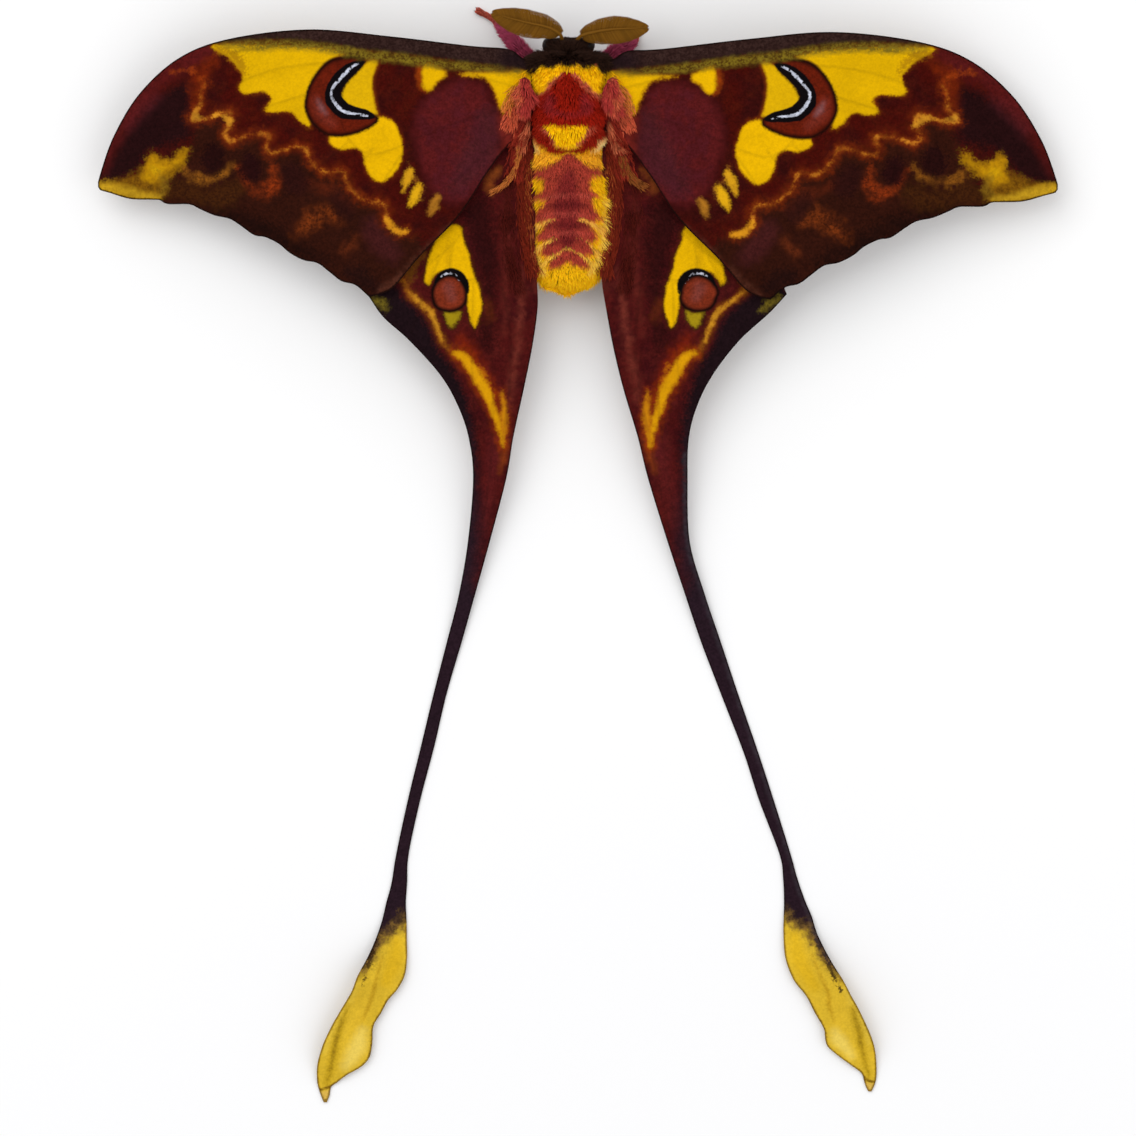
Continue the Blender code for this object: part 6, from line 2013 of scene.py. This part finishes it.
@dataclass
class Feeler:
    """A feathered feeler: a bent shaft whose rays stand so close that it looks like a leaf."""

    side: Side
    rays: int = 84
    first_ray: int = 16
    ray_hairs: int = 14
    hair_spacing: float = 0.064
    hair_reach: float = 0.15
    ray_rows: tuple[tuple[int, float], ...] = ((1, 0.0), (1, 0.16), (-1, 0.0), (-1, 0.16))
    shaft_start: tuple[float, float, float] = (1.0, 79.5, 10.3)
    ray_shares: tuple[float, ...] = (0.0, 0.08, 0.22, 0.42, 0.6, 0.78, 0.92, 1.0)
    ray_reaches: tuple[float, ...] = (0.8, 1.4, 2.0, 2.35, 2.2, 1.6, 0.9, 0.3)
    hind_reach: float = 1.13
    forward_lean: float = 18.0
    dip: float = 0.10

    def line(self) -> Points:
        """The shaft's middle line with its radius in a fourth column."""
        paths = {
            Side.LEFT: ((1.3, 80.85, 12.0), (3.2, 81.95, 12.4), (6.0, 82.6, 12.5),
                        (9.1, 83.4, 12.2), (11.7, 84.25, 11.7)),
            Side.RIGHT: ((2.0, 80.65, 12.0), (4.4, 81.3, 12.4), (6.8, 81.65, 12.5),
                         (9.5, 81.8, 12.2), (12.2, 81.95, 11.7)),
        }
        marks = np.array((self.shaft_start,) + paths[self.side]) * (self.side.value, 1, 1)
        radii = (0.30, 0.28, 0.22, 0.17, 0.12, 0.07)
        return smooth_path(np.column_stack((marks, radii)), 0.15)

    def build_ray(self) -> bpy.types.Object:
        """The pattern of one ray: a thin tapered spine edged with short fine hairs."""
        points, faces, along = [], [], []
        spine = [(0.0, 0.030), (0.35, 0.026), (0.7, 0.018), (1.0, 0.008)]
        for height, half in spine:
            for turn in range(4):
                angle = turn * math.pi / 2
                points.append((half * math.cos(angle), half * math.sin(angle), height))
                along.append(height)
        faces += ring_faces(len(spine), 4) + [(3, 2, 1, 0), (12, 13, 14, 15)]
        for k in range(self.ray_hairs):
            height = 0.05 + self.hair_spacing * k
            for sign in (-1, 1):
                first = len(points)
                reach = self.hair_reach * (1 - 0.35 * height)
                points += [(0.010, 0.0, height), (-0.010, 0.0, height + 0.004),
                           (0.0, 0.0, height + 0.04), (0.0, sign * reach, height + 0.085)]
                along += [height] * 4
                faces += [(first, first + 1, first + 3), (first + 1, first + 2, first + 3),
                          (first + 2, first, first + 3), (first, first + 2, first + 1)]
        mesh = plain_mesh("ray", points, faces)
        face_outward(mesh)
        patch = [(0.5 + y, z, 0.0) for _, y, z in points]
        store(mesh, {"along": along, "tuft_place": patch})
        return bpy.data.objects.new("ray", mesh)

    def build(self) -> None:
        """Make the shaft and its four rows of rays."""
        line = self.line()
        path, radii = line[:, :3], line[:, 3]
        shaft = loft("feeler_shaft_" + self.side.label, tube(path, radii, 14))
        full = np.ones(len(shaft.points))
        store(shaft.item.data, {"along": 0.3 * full, "tone": 0.2 * full})
        dress(shaft.item, FEELER_FINISH.material(),
              ["antenna_" + self.side.label])
        ahead = headings(path)
        start = self.first_ray
        picks = np.linspace(start, len(path) - 2, self.rays)
        roots, ways, sizes, places = [], [], [], []
        for row, (edge, drop) in enumerate(self.ray_rows):
            for pick in picks + 0.5 * (row % 2):
                k = min(pick, len(path) - 1.01)
                low, part = int(k), k - int(k)
                place = path[low] * (1 - part) + path[low + 1] * part
                way = ahead[low]
                across = np.cross((0, 0, 1), way)
                across /= np.linalg.norm(across)
                share = (k - start) / (len(path) - start)
                lean = math.radians(self.forward_lean * share ** 0.5 + 30 * share)
                ray = math.cos(lean) * edge * across + math.sin(lean) * way
                ray = ray - (0, 0, self.dip + drop)
                reach = float(np.interp(share, self.ray_shares, self.ray_reaches))
                if edge == -self.side.value:
                    reach *= self.hind_reach
                roots.append(place - (0, 0, 0.04 + 0.5 * drop))
                ways.append(ray / np.linalg.norm(ray))
                sizes.append(reach)
                places.append((0.04 + 0.9 * share, 0.2 + 0.2 * row, 0.0))
        self.grow_rays(np.array(roots), {"comb": np.array(ways), "root_uv": np.array(places),
                                         "nap": np.array(sizes) * MM})

    def grow_rays(self, roots: Points, values: Mapping[str, Points]) -> None:
        """Stand the rays on the shaft with nodes and turn them into one mesh."""
        mesh = plain_mesh("ray_roots", (roots + np.array(PLACE)) * MM, [])
        store(mesh, values)
        grow_piece("feeler_rays_" + self.side.label, mesh, ray_group(),
                   {"Tuft": self.build_ray(), "Seed": 7,
                    "Material": FEELER_FINISH.material()})


def ray_group() -> bpy.types.NodeTree:
    """The nodes that stand one ray on each root along its stored direction."""
    if found := bpy.data.node_groups.get("feeler_rays"):
        return found
    kit, entry = start_group("feeler_rays", "GeometryNodeTree", {
        "Roots": "Geometry", "Tuft": "Object", "Seed": "Int", "Material": "Material"},
        {"Coat": "Geometry"})
    points = kit.add("GeometryNodeMeshToPoints", {"Mesh": entry["Roots"]}).outputs[0]
    roots = kit.keep(points, "tone", kit.chance(0.0, 1.0, entry["Seed"]))
    ways = (kit.named("comb", "FLOAT_VECTOR"), (0.0, 0.0, 1.0))
    stand_on_roots(kit, entry, roots, ways, (RAY_SCALE * MM, kit.named("nap")))
    return kit.tree


# Studio

@dataclass
class Studio:
    """A pale floor, soft light from above and a camera that looks straight down."""

    lens: float = 300.0
    sensor: float = 36.0
    sharp_height: float = 6.0
    centre_pixel: float = 568.0
    floor_size: float = 6.0
    floor_colour: Rgb = (250, 250, 250)
    floor_second: Rgb = (246, 246, 247)
    key_power: float = 4.0
    fill_share: float = 0.45
    world_strength: float = 0.75

    def camera(self) -> None:
        """The photograph's view: from above, the whole frame across the sensor."""
        across = PHOTO.side_pixels * PHOTO.millimetres_per_pixel
        height = across * self.lens / self.sensor + self.sharp_height
        x, y = PHOTO.place([(self.centre_pixel, self.centre_pixel)])[0]
        data = bpy.data.cameras.new("camera")
        data.lens = self.lens
        data.sensor_width = self.sensor
        data.clip_end = 20.0
        camera = put("camera", data)
        camera.location = (Vector((x, y, height)) + Vector((PLACE.x, PLACE.y, 0.0))) * MM
        bpy.context.scene.camera = camera

    def paper(self, kit: NodeKit, place: Value) -> Inputs:
        """The floor's looks."""
        tone = kit.ramp(kit.noise(place, 400.0), 0.3, 0.7)
        pale = kit.blend(paint(self.floor_colour), paint(self.floor_second), tone)
        return {"Base Color": pale, "Roughness": 0.9, "Specular IOR Level": 0.1}

    def floor(self) -> None:
        """The pale floor that the moth stands on."""
        half = self.floor_size / 2
        corners = [(-half, -half, 0), (half, -half, 0), (half, half, 0), (-half, half, 0)]
        floor = put("floor", plain_mesh("floor", corners, [(0, 1, 2, 3)]))
        floor.data.materials.append(new_material("floor_paper", self.paper))

    def light(self, name: str, place: Sequence[float], size: float, power: float) -> None:
        """One soft square light aimed at the moth."""
        data = bpy.data.lights.new(name, "AREA")
        data.size = size
        data.energy = power
        lamp = put(name, data)
        lamp.location = place
        lamp.rotation_euler = (-Vector(place)).to_track_quat("-Z", "Y").to_euler()

    def build(self) -> None:
        """Set the camera, floor, lights and surroundings."""
        self.camera()
        self.floor()
        self.light("key", (-0.35, 0.45, 0.9), 0.9, self.key_power)
        self.light("fill", (0.6, -0.4, 0.8), 1.0, self.key_power * self.fill_share)
        world = bpy.data.worlds.new("surroundings")
        world.use_nodes = True
        back = world.node_tree.nodes["Background"]
        back.inputs["Color"].default_value = (1.0, 1.0, 1.0, 1.0)
        back.inputs["Strength"].default_value = self.world_strength
        bpy.context.scene.world = world
        bpy.context.scene.view_settings.view_transform = "Standard"


def main() -> None:
    """Build every sub-assembly in order and report each piece."""
    logging.basicConfig(level=logging.INFO, format="%(name)s: %(message)s")
    Studio().build()
    for side in Side:
        wing = Forewing(side).build("wing_fore_" + side.label)
        dress(wing, FOREWING_FINISH.material(), ["forewing_" + side.label])
        wing = Hindwing(side).build("wing_hind_" + side.label)
        dress(wing, HINDWING_FINISH.material(),
              [part + side.label for part in ("hindwing_", "tail_upper_", "tail_lower_",
                                              "tail_tip_")])
    tuft = Tuft("tuft").build()
    Body().build(tuft)
    Head().build(tuft)
    for patch in HAIR_PATCHES:
        for side in patch.sides:
            WingHair().grow(patch, side, tuft)
    for side in Side:
        Tegula().build(side, tuft)
        Feeler(side).build()
        for form in LEGS:
            Leg(form, side).build(tuft)


if __name__ == "__main__":
    main()
